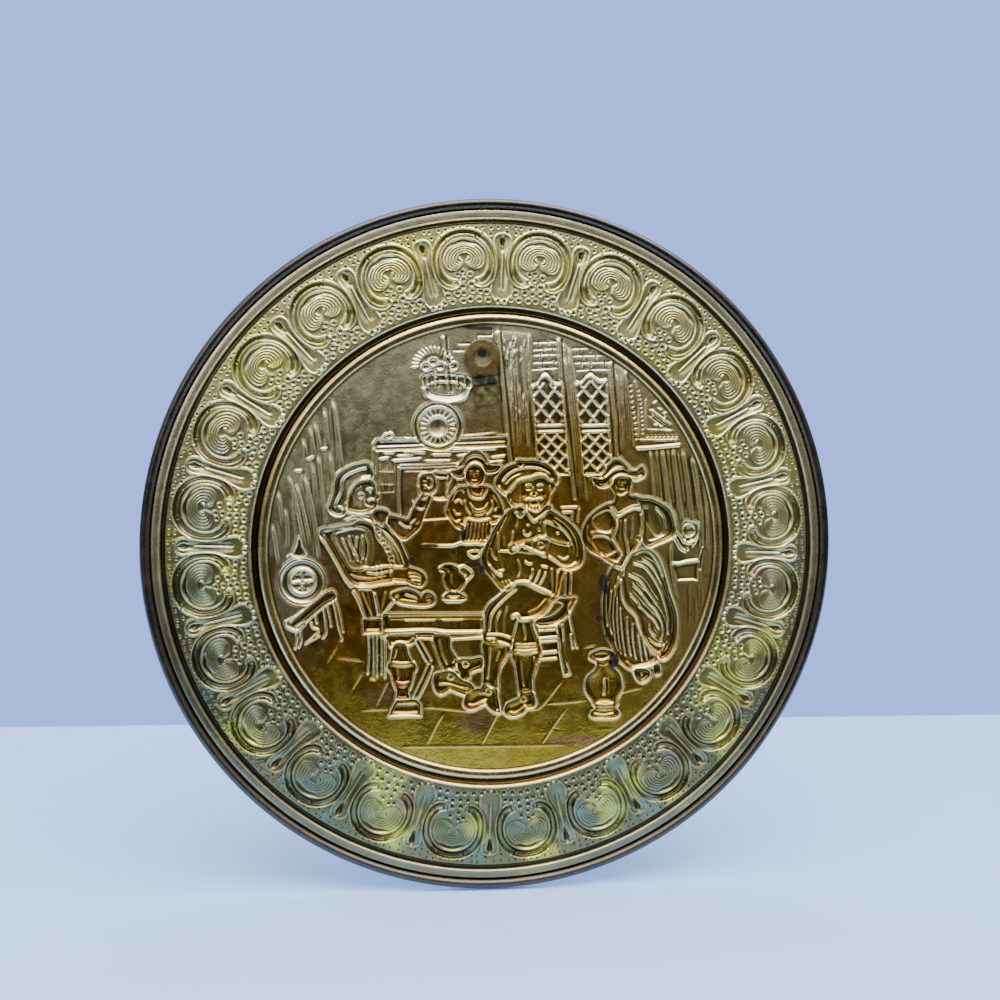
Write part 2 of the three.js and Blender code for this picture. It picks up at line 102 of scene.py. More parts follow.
SHARP, BORDER_SOFT, SCENE_SOFT = 0.16, 0.5, 0.7  # blur of the wall side's forms, and of the front's
BEAD_AT, BEAD_UP, BEAD_R = 150.29, 0.3, 1.98  # the rolled edge: radius and height of its centre, its radius
ROOM_AHEAD, ROOM_ASIDE = (0.065, 0.06, 0.05, 1), (0.30, 0.30, 0.28, 1)  # the room low down
ROOM_ABOVE, ROOM_BEHIND = (2.1, 2.15, 2.2, 1), (0.80, 1.28, 3.0, 1)


# ---- relief: heights in millimetres towards the wall side, over a patch of the sheet ----
def smooth(t):
    t = np.clip(t, 0.0, 1.0)
    return t * t * (3.0 - 2.0 * t)


def curve_through(flat, closed=False, straight=False, spacing=0.8):
    """Evenly close points along a smooth curve through x0, y0, x1, y1, ..."""
    p = np.array(flat, float).reshape(-1, 2)
    if straight or len(p) < 3:
        return np.vstack([p, p[:1]]) if closed else p
    ends = (p[-1:], p[:2]) if closed else (2 * p[:1] - p[1:2], 2 * p[-1:] - p[-2:-1])
    q = np.vstack([ends[0], p, ends[1]])
    out = []
    for a, b, c, d in zip(q[:-3], q[1:-2], q[2:-1], q[3:]):
        n = max(2, int(np.hypot(*(c - b)) / spacing) + 1)
        t = (np.arange(n) / n)[:, None]
        bend, twist = 2 * a - 5 * b + 4 * c - d, 3 * b - a - 3 * c + d
        out.append(0.5 * (2 * b + (c - a) * t + bend * t**2 + twist * t**3))
    return np.vstack(out + [q[-2:-1]])


class Relief:
    """A square patch of heights that forms, ridges and grooves are pressed into."""

    def __init__(self, x0, y0, x1, y1, step, level):
        self.x0, self.y0, self.step = x0, y0, step
        self.nx, self.ny = int(round((x1 - x0) / step)) + 1, int(round((y1 - y0) / step)) + 1
        self.h = np.full((self.ny, self.nx), float(level))
        self.level = level

    def window(self, lo, hi, by):
        i0, j0 = [max(0, int((v - by - o) / self.step)) for v, o in zip(lo, (self.x0, self.y0))]
        i1 = min(self.nx, int((hi[0] + by - self.x0) / self.step) + 2)
        j1 = min(self.ny, int((hi[1] + by - self.y0) / self.step) + 2)
        xs = self.x0 + np.arange(i0, max(i0, i1)) * self.step
        ys = self.y0 + np.arange(j0, max(j0, j1)) * self.step
        return (slice(j0, max(j0, j1)), slice(i0, max(i0, i1))), *np.meshgrid(xs, ys)

    def distance(self, line, by):
        """Window, distance to the line, and how far along it (0..1) the nearest point is."""
        cut, gx, gy = self.window(line.min(0), line.max(0), by)
        best = np.full(gx.shape, by * by + 1.0)
        along = np.zeros(gx.shape)
        steps = np.hypot(*(line[1:] - line[:-1]).T)
        done, total = 0.0, max(steps.sum(), 1e-6)
        for a, b, s in zip(line[:-1], line[1:], steps):
            lo, hi = np.minimum(a, b) - by, np.maximum(a, b) + by
            i = slice(*np.searchsorted(gx[0], (lo[0], hi[0]))) if gx.size else slice(0, 0)
            j = slice(*np.searchsorted(gy[:, 0], (lo[1], hi[1]))) if gx.size else slice(0, 0)
            px, py = gx[j, i] - a[0], gy[j, i] - a[1]
            d = b - a
            t = np.clip((px * d[0] + py * d[1]) / max(s * s, 1e-9), 0, 1)
            near = (px - t * d[0]) ** 2 + (py - t * d[1]) ** 2
            closer = near < best[j, i]
            best[j, i] = np.where(closer, near, best[j, i])
            along[j, i] = np.where(closer, (done + t * s) / total, along[j, i])
            done += s
        return cut, np.sqrt(best), along, total

    def line(self, *flat, w=0.7, h=0.5, taper=1.5, closed=False, straight=False):
        """A ridge (h above 0) or groove (h below 0) of half-width w, its ends fading over `taper` mm."""
        line = curve_through(flat, closed, straight)
        cut, dist, along, total = self.distance(line, w)
        if not dist.size:
            return
        shape = np.clip(1 - (dist / w) ** 2, 0, 1) ** 1.5
        if not closed and taper:
            shape = shape * smooth(np.minimum(along, 1 - along) * total / taper + 0.25)
        self.h[cut] += h * shape

    def form(self, *flat, depth=1.4, wall=1.3, dome=0.5, lip=0.3, straight=False, keep=0.0):
        """Presses a closed outline down to `depth` under the floor; `keep` lets what was there show."""
        line = curve_through(flat, True, straight)
        cut, gx, gy = self.window(line.min(0), line.max(0), 2.0)
        if not gx.size:
            return
        best = np.full(gx.shape, 1e6)
        inside = np.zeros(gx.shape, bool)
        for a, b in zip(line[:-1], line[1:]):
            d = b - a
            px, py = gx - a[0], gy - a[1]
            t = np.clip((px * d[0] + py * d[1]) / max(d @ d, 1e-9), 0, 1)
            best = np.minimum(best, (px - t * d[0]) ** 2 + (py - t * d[1]) ** 2)
            if a[1] != b[1]:
                inside ^= ((a[1] > gy) != (b[1] > gy)) & (px < d[0] * py / d[1])
        signed = np.where(inside, 1, -1) * np.sqrt(best)
        mask = smooth(signed / wall + 0.5)
        under = self.level - depth - dome * (1 - np.exp(-np.maximum(signed, 0) / 3.0))
        target = under + keep * (self.h[cut] - self.level)
        self.h[cut] = self.h[cut] * (1 - mask) + target * mask
        if lip:
            self.h[cut] += lip * np.exp(-(((signed + 0.45 * wall) / 0.7) ** 2))

    def dot(self, x, y, rx, ry=None, h=-0.6, power=1.5):
        ry = ry or rx
        cut, gx, gy = self.window((x, y), (x, y), max(rx, ry))
        self.h[cut] += h * np.clip(1 - ((gx - x) / rx) ** 2 - ((gy - y) / ry) ** 2, 0, 1) ** power

    def ring(self, x, y, r, w=0.9, h=0.35):
        cut, gx, gy = self.window((x, y), (x, y), r + w)
        off = np.hypot(gx - x, gy - y) - r
        self.h[cut] += h * np.clip(1 - (off / w) ** 2, 0, 1) ** 1.5

    def blur(self, mm):
        n = max(1, int(round(3 * mm / self.step)))
        k = np.exp(-0.5 * (np.arange(-n, n + 1) * self.step / mm) ** 2)
        k /= k.sum()
        for axis in (0, 1):
            pad = [(n, n) if a == axis else (0, 0) for a in (0, 1)]
            wide = np.pad(self.h, pad, mode="edge")
            self.h = sum(w * np.take(wide, range(i, i + self.h.shape[axis]), axis) for i, w in enumerate(k))

    def at(self, values, x, y):
        """Values between the grid's points."""
        fx = np.clip((x - self.x0) / self.step, 0, self.nx - 1.001)
        fy = np.clip((y - self.y0) / self.step, 0, self.ny - 1.001)
        i, j = fx.astype(int), fy.astype(int)
        s, t = fx - i, fy - j
        return (values[j, i] * (1 - s) + values[j, i + 1] * s) * (1 - t) + (
            values[j + 1, i] * (1 - s) + values[j + 1, i + 1] * s
        ) * t

    def slopes(self):
        gy, gx = np.gradient(self.h, self.step)
        return gx, gy

    def copy(self):
        other = Relief.__new__(Relief)
        other.__dict__.update(self.__dict__)
        other.h = self.h.copy()
        return other

    def wear_dirt_light_field(self, reach=0.9):
        """From 1 on high lines, worn pale and painted with highlight, to -1 in creases that hold grime and
        painted shade.
        """
        soft = self.copy()
        soft.blur(reach)
        full = 0.2  # the difference in height that counts in full, as wear with painted highlight on ridges and grime with painted shade in creases
        return np.clip((self.h - soft.h) / full, -1, 1)


# ---- the border's sector: x sideways from the medallion's axis, y out from the plate's middle ----
def arch(flat):
    """A line mirrored about x = 0, from its left end over the top to its right end."""
    p = np.array(flat, float).reshape(-1, 2)
    return np.vstack([(p * (-1, 1))[:0:-1], p]).ravel()


def lobed(radius):
    """A rounded arch whose two ends curl under and meet in a cusp, like a heart turned over."""
    shape = (0, 0.76, 0.55, 0.64, 0.92, 0.27, 1.0, -0.14, 0.87, -0.46, 0.48, -0.57, 0.12, -0.42)
    p = np.array(shape).reshape(-1, 2) * radius + (0, MOTIF_R)
    return arch(p)


def draw_channel(r):
    """The open horseshoe channel of a medallion, with its teardrop ends."""
    cy = MOTIF_R
    r.line(*arch((0, cy + 10.9, 5.2, cy + 9.9, 9.6, cy + 6.8, 12.0, cy + 2.1, 12.2, cy - 3.0, 10.8, cy - 7.4,
                  8.0, cy - 10.2, 5.3, cy - 10.7)), w=2.0, h=-1.1, taper=1.2)
    for side in (1, -1):
        r.line(10.9 * side, cy - 6.2, 8.7 * side, cy - 9.4, 5.3 * side, cy - 10.7, w=2.3, h=-0.5, taper=2.5)


def draw_medallion(r):
    """The lines along a medallion's channel and its scroll of nested lobed lines."""
    cy = MOTIF_R
    r.line(*arch((0, cy + 12.7, 5.8, cy + 11.7, 10.9, cy + 8.1, 13.6, cy + 2.4, 13.9, cy - 3.4, 12.4,
        cy - 8.6,
                  9.3, cy - 12.0, 5.6, cy - 12.7, 3.1, cy - 11.4, 3.3, cy - 9.6)), h=0.45, taper=0.6)
    r.line(*arch((0, cy + 8.8, 4.2, cy + 8.1, 7.9, cy + 5.5, 10.1, cy + 1.6, 10.4, cy - 2.8, 9.0, cy - 6.4,
                  6.7, cy - 8.4, 3.8, cy - 9.2)), h=0.42, taper=0.6)
    for side in (1, -1):
        r.line(1.9 * side, cy + 0.9, 1.9 * side, cy - 0.3, 0.7 * side, cy - 1.1, w=0.5, taper=0.8)
    for radius in (8.6, 7.2, 5.9, 4.6, 3.3):
        r.line(*lobed(radius), w=0.55, h=0.28, taper=1)
    r.line(-5.8, cy + 5.6, 0, cy + 7.6, 5.8, cy + 5.6, w=1.1, h=-0.6, taper=4)


def draw_stem(r):
    """A waisted bud between two medallions, in the frame of its own axis."""
    r.line(*arch((0, 137.6, 2.6, 136.8, 3.7, 134.3, 3.1, 130.6, 2.7, 125.2, 3.1, 119.8, 4.3, 115.4, 4.6,
        111.8,
                  3.2, 109.2, 0, 108.2)), w=0.65, h=0.46, taper=0)
    r.line(0, 133.8, 0, 128.0, 0, 121.0, 0, 112.8, w=2.5, h=-0.5, taper=3)
    r.dot(0, 134.4, 1.5, 2.4, h=-1.2, power=1.0)
    r.dot(0, 132.0, 1.0, 2.2, power=1.0)
    r.line(0.1, 130.4, 0, 124, -0.2, 113, w=0.55, taper=2)


PUNCHED = (  # dimples below each medallion, x and y
    (-10.4, 108.8), (-6.8, 109.3), (-2.4, 109.4), (0.9, 109.8), (4.9, 109.4), (8.7, 108.9), (-8.4, 112.2),
    (-4.6, 112.7), (-1.5, 112.7), (2.2, 113.3), (5.4, 113.0), (8.2, 112.3), (-1.4, 115.7), (-1.2, 118.6),
    (1.9, 116.2), (-3.6, 121.0), (-1.1, 121.9), (2.1, 120.5), (12.7, 107.6), (-13.0, 107.6),
)


def sector_dots(rng):
    """Places, radii and depths of the punched dots below the medallion and along the outer edge."""
    dots = [(x + rng.uniform(-0.3, 0.3), y + rng.uniform(-0.2, 0.2), 1.05 if y < 118 else 0.9, -0.6) for x,
        y in PUNCHED]
    for k in range(-5, 6):
        x = 3.3 * k + rng.uniform(-0.6, 0.6)
        away = rng.uniform(139.7, 140.9)
        if abs(x) > 6 and rng.random() < 0.8:
            dots.append((x * 0.96, away - 2.6 - 0.0036 * x * x, 0.72, -0.32))
        dots.append((x, away - 0.0036 * x * x, 0.66, -0.3))
    return dots


def sector_patch():
    return Relief(-19.0, RIM_IN - 1.0, 19.0, RIM_OUT + 2.0, PATCH_STEP, 0.0)


def draw_sector(seed):
    """A sector's heights, and its field of wear, grime, painted highlight and painted shade."""
    r = sector_patch()
    rng = np.random.default_rng(seed)
    draw_medallion(r)
    gx, gy = np.meshgrid(r.x0 + np.arange(r.nx) * r.step, r.y0 + np.arange(r.ny) * r.step)
    for turn in (-0.5, 0.5):
        a = turn * SECTOR
        stem = Relief(-8, r.y0 - 2, 8, RIM_OUT + 3, PATCH_STEP, 0.0)
        draw_stem(stem)
        sx, sy = gx * math.cos(a) - gy * math.sin(a), gx * math.sin(a) + gy * math.cos(a)
        held = (np.abs(sx) < 7.5) & (sy < RIM_OUT + 2.5)
        r.h += np.where(held, stem.at(stem.h, sx, sy), 0)
    for x, y, radius, h in sector_dots(rng):
        r.dot(x, y, radius, h=h, power=1.0)
        r.ring(x, y, radius + 0.2, w=0.4, h=-0.4 * h)
    sector_wear_dirt_light = r.copy()
    r.line(*arch((0, MOTIF_R + 11.6, 5.4, MOTIF_R + 10.5, 9.2, MOTIF_R + 7.9)), w=1.5, h=-0.3, taper=4)
    draw_channel(r)
    away = np.hypot(gx, gy)
    for layer in (r, sector_wear_dirt_light):
        layer.h *= smooth((RIM_OUT - away) / 0.6) * smooth((away - RIM_IN) / 0.6)
        layer.blur(SHARP)
    sector_wear_dirt_light.h = sector_wear_dirt_light.wear_dirt_light_field(0.7)
    # a painted shade band along the channel's outer wall, laid over the field of wear and grime
    sector_wear_dirt_light.line(*arch((0, MOTIF_R + 11.9, 5.4, MOTIF_R + 10.9, 9.8, MOTIF_R + 7.6)), w=1.5, h=-1.0, taper=5)
    return r, np.clip(sector_wear_dirt_light.h, -1, 1)


# ---- the scene, in millimetres from the plate's middle ----
def grain(r, rng, x0, y0, x1, y1, wide, count, h=0.2, w=0.5):
    """Broken lines of wood grain beside a line from the foot x0, y0 to the head x1, y1."""
    for k in range(count):
        off = wide * ((k + 0.5) / count - 0.5) + rng.uniform(-0.3, 0.3)
        a, b = sorted(rng.uniform(0, 1, 2))
        if b - a < 0.25:
            a, b = 0.05, 0.95
        mid = (a + b) / 2
        at = lambda t: (x0 + (x1 - x0) * t + off, y0 + (y1 - y0) * t)
        bend = rng.uniform(-0.4, 0.4)
        mx, my = at(mid)
        r.line(*at(a), mx + bend, my, *at(b), w=w, h=h * rng.uniform(0.6, 1.2), taper=4)


def draw_boards(r, rng):
    """Wall boards at the left, their feet stepping down to the wheel."""
    for flat in (
        (-71.5, 64, -67.5, 35), (-75, 60, -73.5, 44), (-79, 54, -77, 43), (-81, 52, -79.5, 40),
        (-84, 47, -83, 40), (-77.5, 40, -75.5, 22, -73.8, 10), (-83.5, 31, -80, 17, -76.8, -5),
        (-90, 31, -87, 20, -83, 1), (-87, 28, -83, 12, -81, 2), (-91.5, 17, -90.5, 6, -91, 0),
        (-97, 10, -94, -8), (-72.5, 41, -71, 29), (-94.5, 24, -92.5, 10), (-79.8, 36, -78.6, 22),
    ):
        r.line(*flat, w=1.05, taper=5)
    for x0, y0, x1, y1 in ((-77, 43, -73.6, 43.6), (-82.8, 38.3, -79.2, 40), (-87.6, 33.4, -84.2, 33.8)):
        r.line(x0, y0, x1, y1, w=0.8, h=0.45)
    for x, y in ((-70, 50), (-74, 36), (-78, 28), (-82, 24), (-86, 14), (-79, 8), (-94, 0)):
        grain(r, rng, x + 0.8, y - 14, x - 1.4, y + 13, 3.2, 4, 0.16)


def draw_lamp(r):
    """A blazing pan in a hanging rack above the mantel."""
    for k in range(17):
        a = math.radians(175 - 11.6 * k)
        r.line(-28.5 + 6.4 * math.cos(a), 79.2 + 6.0 * math.sin(a), -28.5 + 9.6 * math.cos(a + 0.1),
               79.2 + 9.2 * math.sin(a + 0.1), w=0.6, taper=0.8)
    for x, y in ((-31.8, 79.4), (-28.6, 81.6), (-25.6, 79.8), (-29.6, 77.2), (-22.4, 82.4), (-19.6, 80.0)):
        r.dot(x, y, 1.7, 1.3)
        r.ring(x, y, 1.9, w=0.6, h=0.25)
    r.form(-32.6, 71.5, -30.9, 66.2, -23, 64, -15.2, 66.2, -12.4, 71, -14, 75.6, -31.5, 76, depth=0.5,
        lip=0.15)
    r.line(-32.4, 71, -31, 66.8, -23, 64.6, -15, 66.6, -12.6, 71.4, w=1.2, h=0.75)
    r.line(-31.4, 70.6, -28.6, 68.2, -23, 67.2, -17.5, 68, -14.2, 70.6, w=0.8, h=-0.6)
    r.line(-31.4, 71, -28, 72.8, -23, 73.3, -17.6, 72.8, -14, 71, h=0.4)
    for x in (-31.2, -27.6, -18.2, -14.6):
        r.line(x, 75.8, x + 0.2, 70.4, w=0.8, h=0.6, taper=1)
        r.line(x + 1.1, 75.4, x + 1.2, 70.8, w=0.6, h=-0.4, taper=1)
    r.line(-24.6, 93, -23.2, 80, -21.6, 68.4, w=0.9, h=0.65, taper=1)
    r.line(-23.2, 93, -21.9, 80, -20.4, 68.6, h=-0.45, taper=1)
    r.line(-11.5, 75, -10.5, 70.3, w=0.6, h=0.35)


def draw_brickwork(r):
    for x0, y0, x1, y1 in (
        (-18, 90, -12, 90.2), (-10, 93.7, -3, 94), (14.2, 79.6, 26.2, 80.8), (15, 82.7, 26.4, 83.5),
        (15, 86, 26.4, 86.8), (15, 88.3, 26, 89.4), (15, 91.4, 25.6, 92.2), (34.4, 79.8, 49.4, 80.8),
        (33.4, 83.1, 49.8, 83.8), (32.6, 86.1, 46, 86.8), (32, 89.2, 41, 89.9), (-20, 87, -15, 87.1),
    ):
        r.line(x0, y0, x1, y1, w=0.5, h=-0.42, taper=0.8)
    for x, y in (
        (-9.5, 92), (-3.4, 95.4), (17.5, 89.8), (21.8, 90.6), (18.5, 84.6), (22.4, 84.9), (19.5, 81.2), (24,
            87.4),
        (19.8, 87.5), (24.6, 81.9), (36, 87.6), (37.5, 84.8), (43.2, 85.2), (47.2, 82.1), (41, 81.9), (36.8,
            81.6), (40.6, 88.2),
    ):
        r.line(x, y - 1.3, x - 0.15, y + 1.4, w=0.45, h=-0.4, taper=0.6)


def draw_dish(r):
    """A fluted dish that stands on the mantel."""
    x, y = -26.2, 53.8
    r.form(*[c for k in range(24) for c in (x + 10.4 * math.cos(k * math.pi / 12),
        y + 10.4 * math.sin(k * math.pi / 12))],
           depth=0.9, wall=1.2, dome=0.2, lip=0.2)
    r.ring(x, y, 8.7, w=0.85, h=0.7)
    for k in range(20):
        a = k * math.pi / 10
        c, s = math.cos(a), math.sin(a)
        r.line(x + 5.2 * c, y + 5.2 * s, x + 7.7 * c, y + 7.7 * s, w=0.62, h=-0.55, taper=0.5)
        c, s = math.cos(a + 0.157), math.sin(a + 0.157)
        r.line(x + 5.2 * c, y + 5.2 * s, x + 7.7 * c, y + 7.7 * s, w=0.5, h=0.3, taper=0.5)
    r.ring(x, y, 4.5, w=0.8, h=0.65)
    r.dot(x, y, 3.7, h=-0.9, power=1.0)


def draw_fireplace(r, rng):
    r.form(-53.6, 45.6, -52.6, 47.2, -38, 47.6, -20, 48.3, 3.6, 49.8, 4.4, 47.4, 3.8, 46, -20, 45, -40,
        43.6, -52.6, 43,
           depth=0.9, dome=0.2, wall=1.1, lip=0.25, straight=True)
    r.line(-53, 44.2, -40, 44.8, -20, 46.1, 4, 47.4, w=0.8, h=0.45)
    r.line(-52, 46.6, -20, 48, 3.6, 49.6, w=0.6, h=0.25)
    for flat in (
        (-50, 42, -44.6, 42.1), (-41.6, 42.2, -31, 42.3), (-29, 41.4, -20, 41.6), (-24, 43.1, 0, 44.6),
        (-52, 39, -47, 40), (-46, 38.5, -33, 39.7), (-32, 38.6, -20, 38.9), (-3, 40.5, 4, 41.6), (-4, 38.4,
            3, 39.1),
        (-18, 41, -13, 41.6), (-44, 40.6, -36, 41.1),
    ):
        r.line(*flat, w=0.75, taper=2)
    r.line(-54, 44, -54.2, 34, w=0.8)
    r.line(-52.6, 43, -52.8, 31, h=0.35)
    for k in range(7):
        x = -51 + 1.05 * k
        r.line(x, 38 - rng.uniform(0, 3), x - 0.2, 18 + rng.uniform(0, 10), w=0.45, h=0.24, taper=4)
    for y in (33.6, 28, 24.2):
        r.line(-51.5, y, -44.4, y + rng.uniform(-0.4, 0.4), w=0.5, h=0.2, taper=2)
    r.form(-43, 36.4, -18, 37.6, -16.6, 14, -42.4, 12, depth=0.5, dome=0.1, wall=0.9, lip=0, straight=True)
    r.line(-42.8, 36, -30, 36.4, -16.8, 37.2, w=1.15, h=0.75, taper=1, straight=True)
    r.line(-42.8, 36.2, -42.9, 26, -42.3, 14.6, w=1.0, h=0.7, taper=1)
    r.line(-41, 34.6, -30, 34.8, -22, 35.2, w=0.8, h=-0.35)
    r.line(-50.4, 46.6, -49.4, 49.6, -46.8, 50.6, -45.6, 48.8, -47.4, 47.8)
    r.dot(-48.3, 51.4, 1.1, h=-0.5)
    r.dot(-39.4, 49.4, 1.5, 1.2)
    r.dot(-36.6, 49, 1.0, h=-0.4)
    r.line(-17, 49.6, -8, 50.4, 0, 51.4, w=0.8, h=0.3, taper=4)


def draw_timbers(r, rng):
    """Three leaning posts between the windows."""
    posts = (
        ((-1, 96, 0.8, 79.5, 3.4, 58, 5.6, 40, 6.5, 36.5), (13.3, 95, 14.2, 71.7, 16.4, 60, 18, 40)),
        ((26, 93.5, 27.5, 76, 30, 56, 32.5, 40, 35, 22), (31, 89, 33.5, 76, 35, 65, 38, 40, 40.5, 22)),
        ((49.4, 84, 50.5, 70, 52.3, 55, 53.5, 42), (56.4, 80, 57.6, 68, 59.4, 48)),
    )
    for left, right in posts:
        a, b = np.array(left).reshape(-1, 2), np.array(right).reshape(-1, 2)
        r.form(*a.ravel(), *b[::-1].ravel(), depth=-0.12, wall=1.0, dome=-0.25, lip=0, straight=True)
        r.line(*left, w=1.15, h=0.6, taper=2)
        r.line(*[c + (1.7 if k % 2 == 0 else 0) for k, c in enumerate(left)], w=0.8, h=-0.3, taper=2)
        r.line(*right, w=0.9, h=0.42, taper=2)
    grain(r, rng, 11.6, 42, 7.4, 92, 9.0, 26, 0.3, 0.42)
    for k in range(16):
        x, y = rng.uniform(2, 12), rng.uniform(84, 94.5)
        r.line(x, y, x - 0.3, y - rng.uniform(2, 5), w=0.5, h=0.28, taper=1)
    grain(r, rng, 37.6, 24, 29.2, 88, 3.6, 12, 0.3, 0.42)
    grain(r, rng, 56.2, 42, 53.2, 80, 4.8, 14, 0.3, 0.42)
    r.dot(9.6, 60, 0.9, 2.2, h=0.3)
    r.line(7.4, 63, 8.4, 60, 7.8, 56, w=0.5, h=0.3)
    grain(r, rng, 45.8, 22, 44.6, 38, 10, 8, 0.2)


def lead_bars(across, foot, top, wide, tall, shift):
    """Crossing bars between two heights; `across` gives x at a height and a share of the width."""
    bars = []
    width = across(foot, 1) - across(foot, 0)
    rise = tall * width / wide
    for k in range(-3, int((top - foot) / tall) + 4):
        for sign in (1, -1):
            ys = foot + shift + k * tall + sign * (np.linspace(0, 1, 24) - 0.5) * rise
            held = (ys > foot) & (ys < top)
            if held.sum() > 3:
                bars.append([(across(y, t), y) for y, t in zip(ys[held], np.linspace(0, 1, 24)[held])])
    return bars


def draw_windows(r):
    """Two leaded lights under swept heads, each with a transom; x at the foot and head, for both sides."""
    for left, right, foot, head, transom, crest in (
        ((18.8, 15.2), (32.2, 28.0), 33.6, 72.6, 54.0,
         (14.6, 71.5, 17.2, 72.6, 18.8, 75.6, 21, 76.6, 23.2, 74.8, 25, 72.8, 28.2, 73)),
        ((38.8, 34.6), (51.4, 48.0), 34.0, 74.2, 54.4,
         (34, 73, 37, 73.6, 38.6, 75.6, 41, 77, 43.4, 75.6, 45.2, 74.6, 48, 75)),
    ):
        def across(y, k):
            t = (y - foot) / (head - foot)
            low, high = left[0] + k * (right[0] - left[0]), left[1] + k * (right[1] - left[1])
            return low + (high - low) * t

        crown = np.array(crest).reshape(-1, 2)
        half = (foot + head) / 2
        r.form(across(foot, 0), foot, across(foot, 1), foot, across(half, 1), half, *crown[::-1].ravel(),
               across(half, 0), half, depth=0.7, wall=1.0, dome=0.15, lip=0.12, straight=True)
        bars = lead_bars(across, foot + 0.8, transom - 2.2, 5.8, 6.3, 1.0)
        bars += lead_bars(across, transom + 1.9, head + 1.2, 6.8, 8.4, 2.6)
        for bar in bars:
            r.line(*np.array(bar).ravel(), w=0.78, h=0.72, taper=0.6, straight=True)
        r.line(*crest, w=0.85)
        r.line(*(crown + (0, 2.1)).ravel(), w=0.9, h=-0.45)
        for side in (0, 1):
            r.line(across(foot, side), foot, across(head, side), head, w=0.85, h=0.6)
        for y, h in ((transom + 1.1, 0.75), (transom - 1.6, 0.65)):
            r.line(across(y, 0), y - 0.3, across(y, 1), y + 0.3, w=0.85, h=h, taper=0.5)
    r.line(39.6, 33.4, 46.4, 33.8, w=0.9)
    r.line(21, 33, 28.6, 33, w=0.8, h=0.4)


def draw_picture(r):
    """A bead-framed picture that runs out of the scene at the right."""
    outer = curve_through((58.7, 75, 59.8, 65.8, 61.5, 57, 62.3, 48.2), spacing=0.4)
    inner = curve_through((62.3, 72.5, 64, 64.5, 64.8, 58, 65, 51.8), spacing=0.4)
    low = curve_through((66.4, 51.3, 72, 51.5, 81, 51.8), spacing=0.4)
    for line, pitch, size in ((outer, 2.4, 0.95), (inner, 1.9, 0.72), (low, 1.9, 0.72)):
        along = np.r_[0, np.cumsum(np.hypot(*(line[1:] - line[:-1]).T))]
        for s in np.arange(0.8, along[-1], pitch):
            r.dot(np.interp(s, along, line[:, 0]), np.interp(s, along, line[:, 1]), size, power=1)
    r.line(56.8, 80, 59.4, 62, 61.2, 46.2, w=0.75, h=0.55)
    r.line(62, 45.6, 70, 46.2, 82.6, 47.6, w=1.0, h=0.7)
    r.line(62.8, 49.4, 72, 49.4, 81.6, 49.8, w=0.65, h=0.35)
    r.line(60.8, 76, 62.9, 66, 63.4, 50, w=0.6, h=0.4)
    r.line(66.2, 68, 66.6, 54, 79, 53.8, w=0.55, h=0.35, straight=True)
    r.line(67.2, 61.4, 71, 58.6, 77, 54.6, w=0.8, h=-0.5)
    r.line(68, 63.2, 72.6, 60, 78.4, 56, h=0.45)
    for x, y, a in ((69.4, 65.6, 0.6), (71.6, 63.6, -0.3), (74, 61.2, 0.4), (74.8, 58.2, 1.4), (70, 56.2,
        0.1), (72.6, 55.6, 0.2), (69, 59.2, 1.2)):
        r.line(x, y, x + 2.2 * math.cos(a), y + 2.2 * math.sin(a), w=0.55, h=0.45, taper=0.6)
    r.dot(68.6, 63.5, 0.9, h=-0.5)


def draw_curtain(r, rng):
    for flat, w in (
        ((68.7, 45, 70, 34, 71.4, 22), 0.8), ((74, 45.4, 76, 33, 77.5, 23, 81, 11.6), 1.2), ((79, 45.6, 81,
            33, 82.5, 23, 84.6, 12.4), 1.2),
        ((83.4, 45, 86, 33, 87.6, 23, 88.8, 13.6), 1.2), ((88, 42, 91.4, 25, 93.2, 12, 93.6, -2), 1.4),
            ((92.6, 34, 95.6, 18, 96.4, 0), 1.2),
        ((71.4, 45, 73.6, 31, 75, 20), 0.7), ((76.6, 45, 78.6, 32, 80.2, 21), 0.6), ((81.4, 44, 83.6, 32,
            85.2, 21), 0.6),
    ):
        r.line(*flat, w=w, h=0.55, taper=4)
    for x in (71.8, 76.8, 81.6, 86.2, 90.6):
        r.line(x - 0.2, 43, x + 2.4, 30, x + 4.2, 17, w=1.3, h=-0.4, taper=6)
    r.form(85, 12.4, 88, 13, 91.2, 11.8, 91.6, 8, 90, 5, 86.4, 4.6, 84.6, 7, depth=0.8, dome=0.4, lip=0.2)
    r.ring(87.7, 9.0, 2.9, w=0.85, h=0.7)
    r.dot(87.7, 9.0, 1.7)
    r.ring(87.3, 4.6, 1.4, w=0.7, h=0.55)
    r.line(80.5, 6.4, 82.4, 3.2, 84, 0.8, 86.6, -0.6, w=1.0, h=0.55)
    r.line(81.6, 8.6, 84, 5.6, 85.6, 3, w=0.8, h=0.4)
    r.line(91.4, 13, 92, 9, 90.4, 4.2, 88.6, 1.4, w=0.8, h=0.4)
    r.dot(87, 0.6, 0.9, 0.6, h=-0.7)
    r.line(79.4, 3, 79.7, -5, 81.4, -15, 83, -22, w=1.0, taper=4)
    r.form(80.6, -6.6, 92.2, -5.2, 92, -13.4, 83, -13.6, depth=0.5, dome=0.2, lip=0.1, straight=True)
    r.line(79.8, -5.6, 83, -6.1, 87, -5, 92.2, -4.4, w=0.95, h=0.7)
    r.line(83.2, -13.6, 91, -13.2, h=0.4)
    r.line(94, 2, 93.4, -4, 93, -9, w=1.0, h=-0.5)
    grain(r, rng, 91.6, -34, 90.6, -14, 8, 5, 0.12, 0.8)


